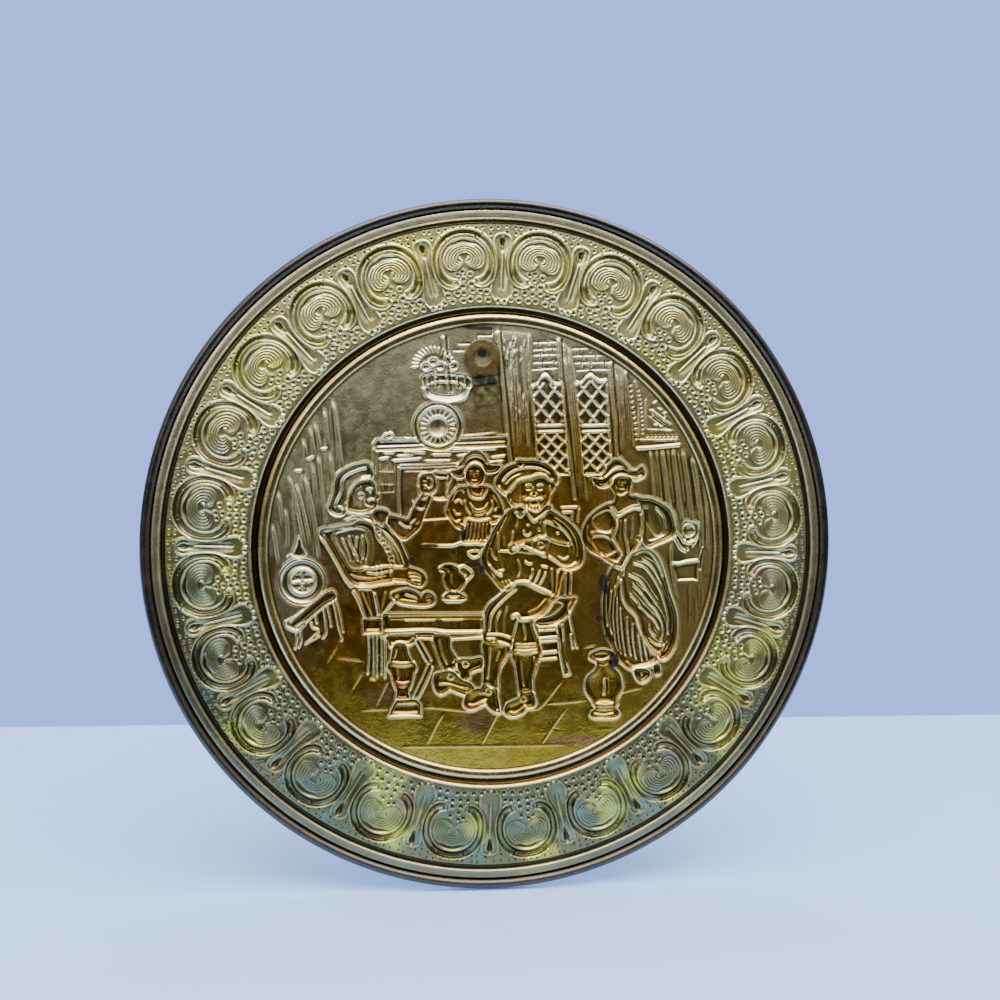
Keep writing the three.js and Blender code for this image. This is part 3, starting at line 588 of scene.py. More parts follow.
def draw_wheel(r):
    """A spinning wheel on a slanting stand."""
    x, y = -84.3, -14.5
    around = lambda q, n=20: [c for k in range(n) for c in (x + q * math.cos(2 * math.pi * k / n),
        y + q * math.sin(2 * math.pi * k / n))]
    r.form(*around(10.1), depth=0.7, wall=1.2, dome=0.3, lip=0.2)
    r.ring(x, y, 9.4, w=0.8, h=0.75)
    r.ring(x, y, 7.4, w=1.1, h=-0.35)
    r.ring(x, y, 5.4, w=0.8, h=0.75)
    for a in (0.1, math.pi / 2 + 0.1, math.pi + 0.1, 1.5 * math.pi + 0.1):
        r.line(x + 0.6 * math.cos(a), y + 0.6 * math.sin(a), x + 4.6 * math.cos(a), y + 4.6 * math.sin(a),
            h=0.6, taper=0.3)
    for dx, dy in ((1.9, 1.9), (-1.9, 1.9), (1.9, -1.9), (-1.9, -1.9)):
        r.dot(x + dx, y + dy, 1.7, h=-0.5)
    r.form(-88, -2.6, -86.8, 1.2, -85.6, 4.6, -84.6, 1.2, -83, -2.6, -85.6, -3.8, depth=0.7, dome=0.3,
        wall=0.9, lip=0.2)
    r.line(-89.6, -2.6, -86, -4.2, -82, -2.4, h=0.45)
    r.line(-89.8, -2.8, -91, -4.4, w=0.6, h=0.4)
    r.form(-91, -32.8, -86.4, -30, -79, -23.4, -74, -19.4, -71.4, -18.6, -69.8, -20.6, -71.4, -22.8, -75,
        -24.6, -81, -30, -86.4, -35.4,
           depth=0.8, wall=1.0, dome=0.3)
    r.line(-87.4, -35, -82, -31, -74, -24.7, -71.2, -22.7, w=0.9, h=0.7)
    r.line(-90, -33, -83, -27, -74.4, -19.8, -71.6, -18.9, w=0.6, h=0.4)
    for flat in (
        (-86.8, -35, -86.4, -39, -87.4, -44.6), (-84.9, -35.6, -84.6, -40, -85.8, -43.6), (-80.5, -32,
            -79.4, -34.6, -77.4, -35.6, -77.8, -37.2, -83, -42),
        (-75, -26, -74, -32, -74, -37, -75.5, -39.6), (-73.4, -25, -72, -31, -71.7, -34.4), (-71.4, -22.5,
            -70, -26, -68.5, -34, -67, -39, -67.6, -40.8),
        (-78.4, -29, -77.8, -33), (-76.4, -38, -82, -41.4), (-69.9, -22, -68, -28, -66.4, -37),
    ):
        r.line(*flat, w=0.75, h=0.58, taper=0.8)


def draw_left_man(r):
    """A seated drinker in a floppy hat, his cup raised, his chair behind him."""
    r.form(-76.8, 7.4, -70, 9.4, -63, 10.6, -60, 12, -54, 11, -48.5, 10.6, -44, 5.6, -41, 0, -38.4, -7, -39,
        -13.4, -46, -14.6,
           -55, -16.2, -60, -16.4, -64.6, -13, -69, -6, -73, 1.4, depth=1.7, dome=0.6, lip=0.2)
    r.form(-46, 8.6, -41, 4.2, -37, 6.6, -34, 9.6, -31.8, 15.6, -29.8, 20.6, -28.2, 26, -31.4, 25, -34.2,
        21.4, -36.4, 17.4, -38.6, 13,
           -43, 13.8, -47.6, 14.2, depth=1.7, dome=0.6, wall=1.1, lip=0.28)
    r.form(-56.3, 37, -60, 36.6, -64.4, 35.2, -68.8, 32.4, -70.4, 29, -70.8, 25, -72.2, 20, -73.2, 17.4,
        -71, 15, -67.6, 14.6, -65.4, 17.2,
           -65.2, 22, -63.4, 26, -60, 29.8, -55.4, 30.6, -54.4, 33, depth=1.5, lip=0.25)
    r.form(-60.4, 29, -55.4, 30, -53.4, 27.4, -52.9, 25, -51.7, 22.7, -52.8, 21.7, -52.6, 19.4, -54.4, 17.2,
        -58.8, 15.6, -64.8, 17, -65, 21.6, -63, 26,
           depth=2.0, dome=0.6, wall=1.1, lip=0.22)
    r.line(-56.6, 35.4, -60, 34.6, -65.6, 32, -67.6, 29, -67.8, 25, -70, 20.4, -70.6, 17.6, w=0.8)
    r.line(-55, 31.4, -58.6, 31, -62.4, 28.4, -64.6, 25, -66, 19.6, w=0.9, h=0.6)
    r.line(-69.6, 18.4, -67.6, 17.6, -66.4, 15.8, h=0.45)
    # head: brow, eye, nose, moustache, ear, hair
    r.line(-57.2, 25.6, -55.2, 26.4, -53.8, 25.8, w=0.6, h=0.4, taper=0.6)
    r.dot(-55.2, 24.6, 0.9, 0.6, h=0.4)
    r.line(-53.2, 26, -52.4, 23.2, w=0.5, h=0.35)
    r.line(-56.6, 20.8, -54.6, 21.6, -53, 20.9, w=0.6, h=0.38, taper=0.6)
    r.line(-57.6, 22.2, -57.8, 19.4, -55.6, 18, -53.8, 18.2, w=0.55, h=0.32)
    for k in range(4):
        r.line(-62.8 + 1.1 * k, 25.4 + 0.7 * k, -62.4 + 1.0 * k, 22, -61.6 + 0.7 * k, 18.4 - 0.4 * k,
            w=0.45, h=0.34, taper=1)
    r.ring(-59.2, 23, 1.2, w=0.5, h=0.35)
    # collar and neck-cloth
    r.line(-66.6, 17, -62, 15.8, -58, 16, -54.4, 16.8, w=0.95, h=0.6)
    r.form(-53.6, 16.6, -50.6, 17.4, -47.6, 16, -48.3, 12.6, -50.3, 10.2, -53.6, 13.4, depth=1.2, dome=0.3,
        wall=0.9, lip=0.35)
    r.line(-66.4, 12.2, -62, 13.8, -57, 12.6, -53.6, 10.2, w=0.9, h=0.55)
    r.line(-65.4, 14.6, -60, 14.4, -55, 13.6, w=0.6, h=0.35)
    # chair back and sleeve
    r.line(-76.4, 7.2, -70, 8.8, -63, 9.6, w=0.95)
    r.line(-76.2, 5.6, -72.6, 0, -69, -6, -65.4, -13.4, -62.5, -17, w=1.35, h=0.85)
    r.line(-73.6, 5, -70, -1.4, -66.6, -8, w=0.8, h=-0.35)
    r.form(-70.4, 6, -66, 7.8, -60.6, 8.8, -56.4, 7, -54.8, 0, -55.8, -7, -59, -9, -63.4, -8.2, -66.4, -3,
        -69, 1,
           depth=2.1, wall=1.1)
    for flat in ((-67.4, 4.6, -65, -1, -63.4, -6), (-64.4, 5.8, -63.2, 1, -61.6, -3), (-60.8, 5.4, -61.6, 0,
        -60.2, -6), (-58.6, 6, -58, 1, -58.4, -5)):
        r.line(*flat, w=0.8)
        r.line(*[c + (1.1 if k % 2 == 0 else 0) for k, c in enumerate(flat)], h=-0.4)
    r.line(-57.4, 6.4, -56, 0, -57, -7, w=0.75)
    # coat front with buttons
    for k, h in enumerate((0.55, 0.4, 0.45, 0.35)):
        q = 2.1 * k
        r.line(-54.6 + 0.6 * k, 11 - q * 0.55, -47.4 - q * 0.75, 5.6 - q * 0.1, -42.4 - q * 0.9, -0.6,
            -39.6 - q, -8, w=0.75, h=h)
    for x, y in ((-49.4, 3.4), (-47.4, -0.4), (-45.6, -4.4), (-51.4, 6.8)):
        r.dot(x, y, 0.95, power=1)
        r.ring(x, y, 1.15, w=0.4, h=0.2)
    # cuffs, coat skirt
    r.line(-58.4, -8.4, -54, -8.8, -48, -7.8, -40.4, -8.2, w=0.9)
    r.line(-57, -10.6, -52, -11.2, -46, -10, -41, -10.6, h=0.35)
    for x in (-52.4, -50.4, -46.4, -44.4):
        r.line(x, -7.2, x + 0.4, -12.6, w=0.6, h=0.4)
    r.line(-60.4, -16, -55, -16, -50, -15, -46, -14.6, -42, -13, -39, -13, w=1.1, h=0.8)
    r.line(-64, -11.6, -60, -13, -54, -13.4, -48, -12.4, h=0.3)
    # hand on the knee
    r.form(-44.6, -9, -40, -8.6, -36, -9, -32.4, -10.6, -30.9, -13, -32.4, -16, -36, -15.8, -40, -14, -45,
        -13.2, depth=1.8, wall=1.0)
    for dy in (0, 1.7, 3.2):
        r.line(-38.6 + dy * 0.4, -10.8 - dy, -35, -10.9 - dy, -32.4, -12.2 - dy * 0.8, w=0.6, taper=0.8)
    r.dot(-33.4, -15.6, 1.2, 0.9)
    # raised arm's cuffs, fist and goblet
    for flat in ((-36.8, 21.6, -36, 19, -33, 17.2, -31, 18.2), (-34.6, 28, -34.2, 23.6, -32, 21.8, -29.6,
        23), (-35.2, 13, -37.4, 11, -37.6, 8.6),
                 (-43, 12, -40, 9.6, -37.4, 9.4), (-33, 12, -35.4, 10.4)):
        r.line(*flat)
    r.form(-27.8, 33.8, -20.4, 33.4, -21.4, 28, -22.4, 23.4, -21.8, 22.2, -26.2, 21.6, -28.4, 23.4, -27.4,
        28, dome=0.4, wall=0.9)
    r.form(-33.4, 31.4, -30.8, 33, -28, 32.6, -26.6, 29.6, -27, 25.6, -30, 24, -33, 25.4, depth=1.9,
        dome=0.6, wall=0.9, lip=0.4)
    r.line(-31.2, 31, -29.6, 31.6, -28.2, 30, -28.4, 27.6, -30, 26.6, -31.4, 28, w=0.55, h=0.45)
    for x, y in ((-32, 29.8), (-32, 28), (-31.4, 26.4)):
        r.line(x - 0.9, y, x + 1.2, y - 0.3, w=0.45, h=0.3, taper=0.5)
    r.line(-32, 32.6, -28, 33.9, -20.5, 33.6, w=0.85, h=0.55)
    r.line(-27, 31.4, -21.6, 31, w=0.6, h=0.4)
    r.line(-21.4, 32.8, -22.7, 23.8, w=0.8)
    r.line(-28.6, 23.6, -26, 22, -21.8, 22.8, w=0.8, h=0.6)
    # second hand, on the table
    r.form(-45.4, -20.2, -41.5, -18.4, -37.6, -18, -34, -19.8, -32.6, -21.3, -30.8, -19.4, -28.4, -19.7,
        -26.8, -21.8, -27.6, -23.8, -31, -25, -35, -24.8,
           -42, -23.6, depth=1.2, dome=0.4, wall=1.0, lip=0.35)
    r.line(-40, -20, -34, -22, h=0.45)
    r.line(-42.4, -22.6, -38, -23.2, -34, -23.8, w=0.6, h=0.4)
    r.dot(-29.4, -22, 1.3, h=-0.5)
    r.line(-42.4, -20.2, -46.4, -25.4, -50, -30.4, w=0.9)
    # legs and buckled shoes below the table
    r.form(-26.6, -38.8, -20.4, -38.8, -19.4, -44, -16.4, -49, -15.6, -50.6, -20.5, -55.2, -23, -51, -25.2,
        -45, depth=1.2, dome=0.4)
    r.line(-24.4, -40, -23.2, -46, -20.6, -51.6, h=0.35)
    r.form(-26.4, -56.4, -22, -54.8, -18, -54.8, -15.8, -57.3, -12.3, -59.2, -9.6, -60.8, -9, -63, -11, -65,
        -15, -64, -19, -62.4, -21, -63.2,
           -23.5, -64.4, -25.6, -62, depth=1.7, wall=1.1, lip=0.35)
    r.form(-16.4, -50.6, -14.5, -49.2, -10, -49.2, -6, -48.5, -4.6, -50.5, -5.4, -52.6, -9, -54, -11, -55.4,
        -11, -57, -13.2, -58.6, -15, -55, wall=1.0, lip=0.35)
    r.line(-20.4, -53.6, -16.6, -56, -14, -58, w=0.8)
    for x, y in ((-19, -57.2), (-12.5, -51.4)):
        r.ring(x, y, 1.3, w=0.55, h=0.5)
    r.line(-24.6, -60.4, -20, -60.6, -14, -62.4, -10.4, -62.6, h=0.45)
    r.line(-18.4, -51, -17, -48.6, -13.6, -51, w=0.6, h=0.4)


def draw_left_chair(r):
    for flat in ((-62.5, -18, -60, -22.6, -56.8, -30.6), (-53.3, -19, -51.8, -25, -51, -29.6)):
        r.line(*flat, w=1.1, h=0.65)
    r.form(-59.8, -18.4, -54.4, -18.6, -52, -30.8, -55.6, -31.2, depth=0.9, dome=0.2, wall=1.0, lip=0,
        straight=True)
    r.line(-58.6, -19, -56.4, -24.4, -53.6, -31, h=0.55)
    r.line(-56, -18.6, -53.8, -30.6, w=0.5, h=0.3)
    r.form(-57.6, -31.2, -50.2, -31, -50, -36.8, -57.4, -37, depth=1.2, dome=0.3, wall=0.9, straight=True)
    r.line(-57, -36.2, -50.2, -36.1, w=0.8, h=0.7)
    for x0, x1, foot in ((-55.4, -54.9, -55.6), (-53.4, -53.0, -57.6), (-51.8, -51.6, -57), (-48.4, -48.1,
        -57.4), (-49.9, -49.7, -56)):
        r.line(x0, -37.6, x1, -46, x1 - (0.8 if x1 < -54 else 0), foot, w=0.75, h=0.6, taper=0.8)
    r.line(-54.8, -57.2, -52, -57.9, w=0.8)
    r.line(-51.4, -46.8, -50, -46.6, w=0.6, h=0.4)
    r.line(-54.4, -39, -54.4, -55, h=-0.45)
    r.line(-50.8, -39, -50.6, -55, h=-0.4)


def draw_table(r):
    r.form(-49.2, -28.8, -4.8, -28.8, -4.6, -38.6, -20, -39.4, -49, -38.2, depth=1.2, dome=0.15, wall=1.0,
        straight=True)
    r.line(-47, -29.6, -4.6, -29.4, w=0.75, h=0.55, taper=1)
    r.line(-46.6, -30.9, -5, -30.7, w=0.6, h=-0.35, taper=1)
    r.line(-40, -31.6, -26, -31.4, w=0.55, h=0.35)
    r.line(-23.5, -31.5, -13.6, -31.3, w=0.5, h=0.3)
    r.line(-49.2, -36.9, -30, -36.4, -20, -37.2, -5, -37.2, w=1.5, h=1.0, taper=1)
    r.line(-49, -31, -49, -36, w=0.8)
    # block, turned leg and foot
    r.form(-46.6, -38.4, -35.4, -38.3, -35.6, -40.6, -38, -42.3, -45, -43.2, -46.6, -41, depth=1.2,
        dome=0.3, wall=0.9)
    r.line(-45.8, -41.2, -44.4, -42.7, -42.5, -41.6, -38, -41.5, -35.5, -39.2, w=0.75, h=0.6)
    r.form(-44, -42.6, -39.6, -42.6, -38, -47, -36.6, -50, -34.8, -52, -36, -55.4, -37, -60, -38.2, -63,
        -38, -66.4, -42.6, -66.4, -42.4, -63,
           -43.7, -59.5, -45, -55, -46.8, -52, -45.6, -49.6, depth=1.6, dome=0.6, wall=1.1, lip=0.35)
    for x0, x1, y, h in ((-46.2, -35, -50.4, 0.6), (-46.2, -35.4, -51.9, 0.45), (-43.6, -37.2, -59.4, 0.55),
        (-42.8, -38, -66.6, 0.6), (-42.6, -38.2, -61.2, 0.35)):
        r.line(x0, y + 0.3, (x0 + x1) / 2, y - 0.5, x1, y + 0.2, w=0.65, h=h, taper=0.6)
    r.line(-42.8, -52.8, -42.2, -58.4, w=0.6, h=0.3)
    r.line(-43.2, -44, -44.4, -49, w=0.6, h=0.4)
    r.form(-42.6, -67.2, -34.4, -67.2, -32.6, -69, -32.6, -73.8, -45.8, -73.8, -44, -69.2, dome=0.3,
        wall=0.9, lip=0.35, straight=True)
    r.line(-43.4, -69.4, -38, -69.2, -33, -69.2, w=0.65, h=0.55)
    r.line(-45.6, -73, -39, -73.2, -33, -73, w=0.85, h=0.8)
    # brace
    for flat in ((-35.6, -39.4, -29.6, -50.2), (-33.4, -39.6, -27.8, -49.6), (-29, -50.6, -32, -58, -36,
        -66.2), (-27.2, -52, -30, -59.4, -33.6, -66.6)):
        r.line(*flat, w=0.8, h=0.6, taper=0.8)
    r.line(-34.4, -40, -28.6, -50, w=0.8, h=-0.4)
    r.line(-28, -51, -34.6, -65.6, w=0.8, h=-0.4)
    # jug
    r.form(-24.3, -8.6, -21.2, -7.4, -17.4, -8, -16, -10.4, -15, -11, -13.6, -14, -15.6, -18, -17, -19, -14,
        -20.6, -14, -22, -22, -22, -21.8, -20.4,
           -20, -18.8, -21.4, -16.4, -22.4, -12.4, -22, -10.2, depth=1.5, dome=0.6, wall=1.0, lip=0.4)
    r.line(-23.6, -8.7, -21.5, -8.6, -20.6, -10.4, w=0.65, h=0.45)
    r.line(-16.8, -8.6, -15, -7.4, -12.4, -8, -10.2, -10.6, -11.4, -12.8, -13.4, -14.6, w=0.85, h=0.65)
    r.dot(-14, -10.6, 1.6, 1.8, h=-0.4)
    r.line(-20.6, -18.6, -17, -19.2, h=0.55)
    r.line(-22, -21, -18, -21.6, -14.3, -20.9, w=0.75, h=0.65)
    r.line(-19.4, -11, -19.6, -15.6, w=0.6, h=0.3)
    r.line(-22, -23.4, -15, -23.4, h=0.3)
    # far edge and a small bowl
    r.line(-33, 1.8, -20, 1.5, -15, 2.8, -6, 2.5, w=0.9, taper=3)
    r.line(-12.6, -1.4, -10.4, -3.5, -8, -3.2, -6.8, -1, w=0.75, h=0.6)
    r.line(-12.6, -1.2, -9.6, -0.6, -6.8, -0.8, w=0.6, h=0.4)
    r.line(-48, -18.4, -50.4, -28.6, w=0.6, h=0.3)


def draw_maid(r):
    r.form(-16, 36, -15.4, 39, -13, 42, -10, 43.4, -6.5, 42.4, -3.8, 38.6, -4.4, 35.6, depth=1.1, dome=0.4,
        wall=1.1, lip=0.2)
    r.form(-20.6, 34, -18, 32, -15.8, 31.6, -13.8, 33.2, -12.6, 36.6, -9.7, 38.4, -6.6, 36.8, -5, 34.4, -3,
        34, -0.4, 34.6, 1.4, 36.8, -1.8, 37, -4.4, 37.6,
           -6.2, 40, -9.7, 41, -13, 39.6, -14.8, 36.4, -17.4, 34.8, dome=0.3, wall=0.9, lip=0.4)
    r.form(-13.7, 33.4, -12.4, 36, -9.7, 37.2, -7, 36, -5.7, 33.2, -6.8, 29.6, -9.7, 28, -12.6, 29.8,
        depth=2.0, wall=0.9, lip=0.25)
    for x in (-11.4, -8.2):
        r.line(x - 0.8, 34.3, x + 0.8, 34.3, w=0.45, h=0.32, taper=0.4)
        r.dot(x, 33.3, 0.7, 0.45, h=0.36)
    r.line(-9.8, 33.6, -9.9, 31.8, -9.2, 31.6, w=0.4, h=0.3, taper=0.5)
    r.line(-11, 30.4, -9.8, 30.1, -8.6, 30.4, w=0.42, h=0.34, taper=0.4)
    r.form(-14, 27.4, -11.6, 28, -8, 28, -4, 27.6, -0.6, 25, 2.6, 19, 2.6, 14, 0, 12, -3, 11.6, -9, 12.4,
        -12.8, 11.6, -14.4, 9, -17, 9.6, -19, 11.6,
           -21.9, 15.6, -21.6, 19, -20, 23.4, -17, 27, depth=1.5, wall=1.1, lip=0.25)
    r.line(-13, 27.2, -11.6, 23.6, -9.5, 22.4, -6.4, 22.4, -5.2, 24, -3.6, 27.2, h=0.55)
    r.line(-11.4, 27, -10.6, 24.8, -7, 24, -5.6, 27, w=0.5, h=0.35)
    r.line(-20, 21, -18, 25.2, -15.5, 26.4, -14, 24.6, h=0.45)
    r.line(-18.8, 20.4, -16.4, 21.6, -14.4, 19.6, h=0.45)
    r.line(-21.4, 18, -20.4, 14.6, -18, 12, -15.4, 12.8, w=0.8, h=0.55)
    r.line(-19, 17.6, -17.6, 15.4, -15.2, 15.4, w=0.65, h=0.4)
    r.line(-16.2, 11.2, -13.6, 10, h=0.45)
    r.line(-14, 22, -13.2, 18, -10.8, 14.6, w=0.65)
    r.line(-5, 15, -3, 16.2, -1.5, 19, -2, 22, w=0.65)
    for q in (0, 1.5, 3.0):
        r.line(-12 + q * 0.4, 20.6 - q, -9, 17.4 - q * 0.8, -5.4, 18 - q * 0.8, -3.4, 20.6 - q, w=0.55, h=0.4)
    r.line(-1.6, 24, 0.8, 21, 1.6, 18.2, w=0.65, h=0.45)
    r.line(-1.4, 14.4, 2, 14.2, w=0.6, h=0.4)
    r.line(-1, 16.6, 0.8, 18.6, w=0.6, h=0.4)
    r.form(-12.8, 12.8, -8, 12.4, -3, 12.8, -2.8, 8, -3.4, 3, -6, 2.6, -9, 3.2, -12, 2.6, -14.8, 3.8, -13.8,
        8, depth=1.2, dome=0.4, wall=0.9)
    r.line(-12.4, 13.6, -8, 12.7, -3, 13.4, h=0.6)
    for k in range(6):
        x = -12.4 + 1.75 * k
        r.line(x, 11.6, x - 0.5, 8, x - 0.9 + 0.12 * k, 4.2, w=0.5, h=0.42, taper=0.8)
        r.line(x - 1.2, 4.1, x - 0.3, 3.2, x + 0.6, 4.1, w=0.5, h=0.4, taper=0.3)


def draw_middle_man(r):
    """A bearded man in a soft hat, seated on a ladder-back chair with his arms folded."""
    # chair
    for flat in ((29, 16.7, 34.4, 17), (34.2, 17, 33.8, 12.6), (37.2, 19, 36.4, 12), (28.4, 18.8, 36.8,
        19.2)):
        r.line(*flat, w=0.8)
    r.form(19, -31.6, 25, -30.2, 29, -27.6, 31, -24.6, 28.4, -22.2, 36, -21.6, 35.4, -24, 33, -28.6, 28,
        -32.6, 20, -33.6,
           depth=1.0, dome=0.3, lip=0.25)
    for flat in (
        (31.5, -10, 31.2, -20.6), (34, -10, 33.7, -20), (28, -22, 35.4, -21.6), (35.2, -22, 33.2, -26.6,
            34.2, -32, 36.6, -42, 37.6, -44.4),
        (34.4, -37.6, 35.6, -44.6), (27.8, -33.8, 28.8, -38, 29.5, -45, 31, -53, 31.8, -56.4), (30.4, -33,
            31.2, -43, 32.6, -50, 34.6, -56),
        (31.6, -56.8, 34.6, -56.2),
    ):
        r.line(*flat, w=0.8, h=0.6, taper=0.8)
    r.line(29, -34, 31.8, -46, 33.2, -55, w=0.8, h=-0.5)
    for y0, y1, w in ((-34.6, -34.2, 0.8), (-36.2, -35.8, 0.5), (-39.9, -39.1, 0.8), (-41.4, -40.8, 0.5),
        (-46.5, -45.7, 1.0), (-49.5, -48.7, 0.8)):
        r.line(19.6, y0, 28.4, y1, w=w, h=0.6, taper=0.6)
    # breeches and legs
    r.form(7.6, -15.6, 12, -14.4, 18, -16, 27, -19.8, 25, -24.6, 22, -28.8, 18.6, -31, 17, -33, 19.6, -40.8,
        20.2, -47.4, 9.4, -47.2, 8.6, -41, 7.6, -43.6,
           4.6, -44.8, -1.8, -43, -4.2, -41, -4.9, -36, -4.6, -30, -2.8, -25, 2, -21, depth=1.8, dome=0.6,
               lip=0.28)
    r.form(-4.4, -41.6, 6.2, -43.6, 5.2, -48, 2.6, -52.6, 1.6, -57, 1.4, -62.6, -3.8, -61, -4.3, -55, -4.2,
        -48, depth=1.6, dome=0.6, wall=1.1)
    r.form(8.9, -46.6, 19.4, -46.4, 18.8, -52, 17.2, -58, 17, -64.4, 12.4, -64.6, 11.3, -60, 10, -52,
        depth=1.6, dome=0.6, wall=1.1)
    r.line(10, -17.6, 5, -21.8, 1.5, -25.4, -1.5, -30, -2.3, -37, w=0.75)
    r.line(7.6, -17, 2, -20.8, -2.4, -25, -4.2, -30, -4.5, -37.4, w=0.85)
    r.line(26.2, -20.4, 24.2, -25, 21, -28.8, 17, -31, 12, -31.6, 10.2, -29.6, 7.6, -30.8, w=1.4, h=0.95)
    r.line(24, -22, 20, -26.6, 15, -29, w=1.2, h=0.3)
    r.line(10.4, -31.4, 9.5, -35, 8.4, -40.6)
    r.line(16.4, -32.4, 18, -37, 19.4, -41, w=0.8, h=0.55)
    r.line(13, -33, 14, -37, 13.8, -41, w=0.6, h=0.4)
    r.line(3, -27, 1, -32, 1.2, -37.4, w=0.6, h=0.35)
    r.line(6, -25, 4.4, -31, 4.6, -38, w=0.6, h=0.3)
    for flat in ((-3.6, -38.2, 3, -38.4, 7.8, -39.9), (-3.8, -40, 1, -40.4), (2, -41.6, 5.5, -42.6, 7.4,
        -43.6)):
        r.line(*flat, h=0.6)
    r.dot(-0.8, -41.2, 1.2, h=-0.5)
    for k, y in enumerate((-42.3, -43.6, -45, -46.4)):
        r.line(9.4 + 0.2 * k, y - 0.2, 14, y - 0.6, 20, y, w=0.55, taper=0.5)
    r.line(-1.6, -43.6, -2.2, -52, -2.7, -58.4, w=0.65, h=0.4)
    r.line(5.8, -43.8, 4.8, -48, 2.4, -52.6, 1.4, -57, 1.2, -62, 1.7, -68, w=0.8)
    r.line(2.8, -45.4, 1.2, -50.4, w=0.6, h=0.35)
    r.line(9.2, -44.6, 10.2, -52, 11.6, -60, 12.6, -64.4, w=0.8)
    r.line(18.2, -48, 18.4, -52, 16.9, -58, 16.8, -64)
    r.line(12.2, -50, 13, -57, 14, -62, w=0.6, h=0.35)
    # shoes
    r.form(-4.2, -60.4, -1, -62.6, 1.4, -63, 1.9, -67, 2.8, -72.8, -0.4, -71.6, -3, -69, -5.4, -69.6, -9,
        -71.4, -11.6, -70.8, -12.8, -68.4, -11.6, -65,
           -7.6, -62.6, -5.4, -62.6, depth=1.9, dome=0.6, wall=1.1, lip=0.35)
    r.form(12.8, -64.2, 17, -64.2, 18.4, -66.6, 18.6, -69, 17.4, -70.8, 15, -71, 13, -73.2, 10, -74.6, 7.2,
        -74.4, 5.3, -72.4, 6.2, -69.6, 9, -68.2, 12, -66.6,
           depth=1.9, dome=0.6, wall=1.1, lip=0.35)
    r.line(-11.4, -69.8, -8.6, -70.2, -5, -68.6, -2.5, -67.8, w=0.9, h=0.75)
    r.line(-3.8, -60.6, -0.6, -63, 1.4, -64, w=0.6)
    r.line(-5.6, -64.4, -2.4, -65.6, w=0.6, h=0.45)
    r.ring(-2.2, -64.2, 1.3, w=0.55, h=0.4)
    r.line(7.2, -73.4, 10, -73.8, 13, -72, 15, -70, w=0.9, h=0.75)
    r.line(12.8, -64.4, 19, -64.2, w=0.65)
    r.ring(13.8, -67.6, 1.3, w=0.55, h=0.4)
    # coat skirt behind
    r.form(26, -8.2, 30.4, -9, 29.4, -14, 28, -20, 25.6, -20.4, 25.4, -14, dome=0.3, wall=1.0, lip=0.2)
    # body
    r.form(8.6, 18.6, 12, 18, 17, 14.4, 22, 18, 28, 15.2, 33, 11.8, 36.8, 7.2, 38.8, 2, 39.3, -3, 38, -6.8,
        34, -8.8, 29, -8.8, 27.4, -13, 27, -20, 21.6, -18.6,
           17, -16.4, 13.6, -14.8, 9.6, -15, 6.6, -17.4, 4, -18.2, 1.6, -16.2, -1.6, -12.4, -4.2, -8.6,
               -5.8, -4, -5.2, -0.8, -3, 4, -0.4, 9, 2, 13, 6, 17.2,
           depth=1.9, dome=0.7, lip=0.22)
    # folded arms
    r.form(5.6, 16.6, 2, 13, -0.2, 9, -3, 4, -5, -1, -5.6, -4, -4, -8.6, -1, -11.4, 2, -12, 2.4, -8, 0.6,
        -2, 0.8, 4, 3, 10, depth=2.3, dome=0.6, wall=1.2, lip=0.2)
    r.form(23.6, 17, 28, 14.4, 33, 11, 36.4, 7, 38.4, 2, 38.8, -3, 37.6, -6, 33, -7.8, 28, -5.8, 24, -3.6,
        21, -2, 22, 3, 24, 8, 22, 13,
           depth=2.3, dome=0.7, wall=1.2, lip=0.2)
    r.form(6.8, 1.4, 10, 2.2, 13, 3, 17, 4, 20, 5.4, 23.4, 4.8, 23, 0.6, 22.6, -2.4, 18, -1.4, 14, -1, 10,
        -0.4, 7, -1.2, depth=2.1, dome=0.4, wall=1.0, lip=0.35)
    r.line(4.4, 16, 1, 10.6, -1.8, 4.6, -3.6, -0.6, -4, -4.6, -2.6, -8, h=0.35)
    r.line(-3, -6.8, -1, -9.4, 1.4, -11.2, 3.6, -11.6, w=1.0, h=0.7)
    r.line(0.8, -10, 4.5, -9.2, w=0.6, h=0.45)
    r.line(-2.4, 0.6, -0.6, -3.4, 1.2, -5, w=0.6, h=0.35)
    r.line(-1.4, -12, 2, -15.6, 4.2, -17.4, 6.4, -16.6, 8, -15, w=0.85, h=0.6)
    for q in (0, 1.5, 3.0):
        r.line(3.2 + q, -14.4 + 0.2 * q, 4.4 + q, -16.8 + 0.2 * q, w=0.5, h=0.4, taper=0.5)
    r.line(0.8, 8, 1.6, 0, 2.4, -0.8, 6.6, -1)
    r.line(8, 8.4, 7, 0.4, w=0.6, h=0.45)
    r.line(3.6, 6, 4.2, 1, w=0.5, h=0.3)
    r.line(7, 0.2, 10, 0.6, 12, 1.5, 15.5, 0.1, 17.5, -0.7, 20, -1.9, 22.6, -2, w=0.95, h=0.65)
    for x, y in ((9.4, 1.6), (12.6, 2.4), (16.2, 2.6), (19.2, 3.4)):
        r.line(x, y + 0.6, x + 0.5, y - 2.6, w=0.5, h=0.42, taper=0.6)
    r.dot(20.4, 1.8, 1.8, 1.6, h=-0.7)
    r.line(17, 3.7, 20, 5.2, 23, 4.7, w=0.65)
    r.line(12.5, 8.8, 12.9, 7, 14.5, 6, 16.2, 7.6, w=0.65)
    r.line(13.4, 10.7, 15.6, 10.9, w=0.55, h=0.4)
    r.line(9.4, 16.2, 9.8, 12, 9, 8.8, w=0.55, h=0.35)
    for y in (12.6, 8.8, 4.8):
        r.dot(18.6 + 0.1 * y, y, 0.85, h=-0.5)
    r.line(13, -5, 15, -6.6, 17, -6.4)
    r.line(20.4, -7.4, 24, -8.2)
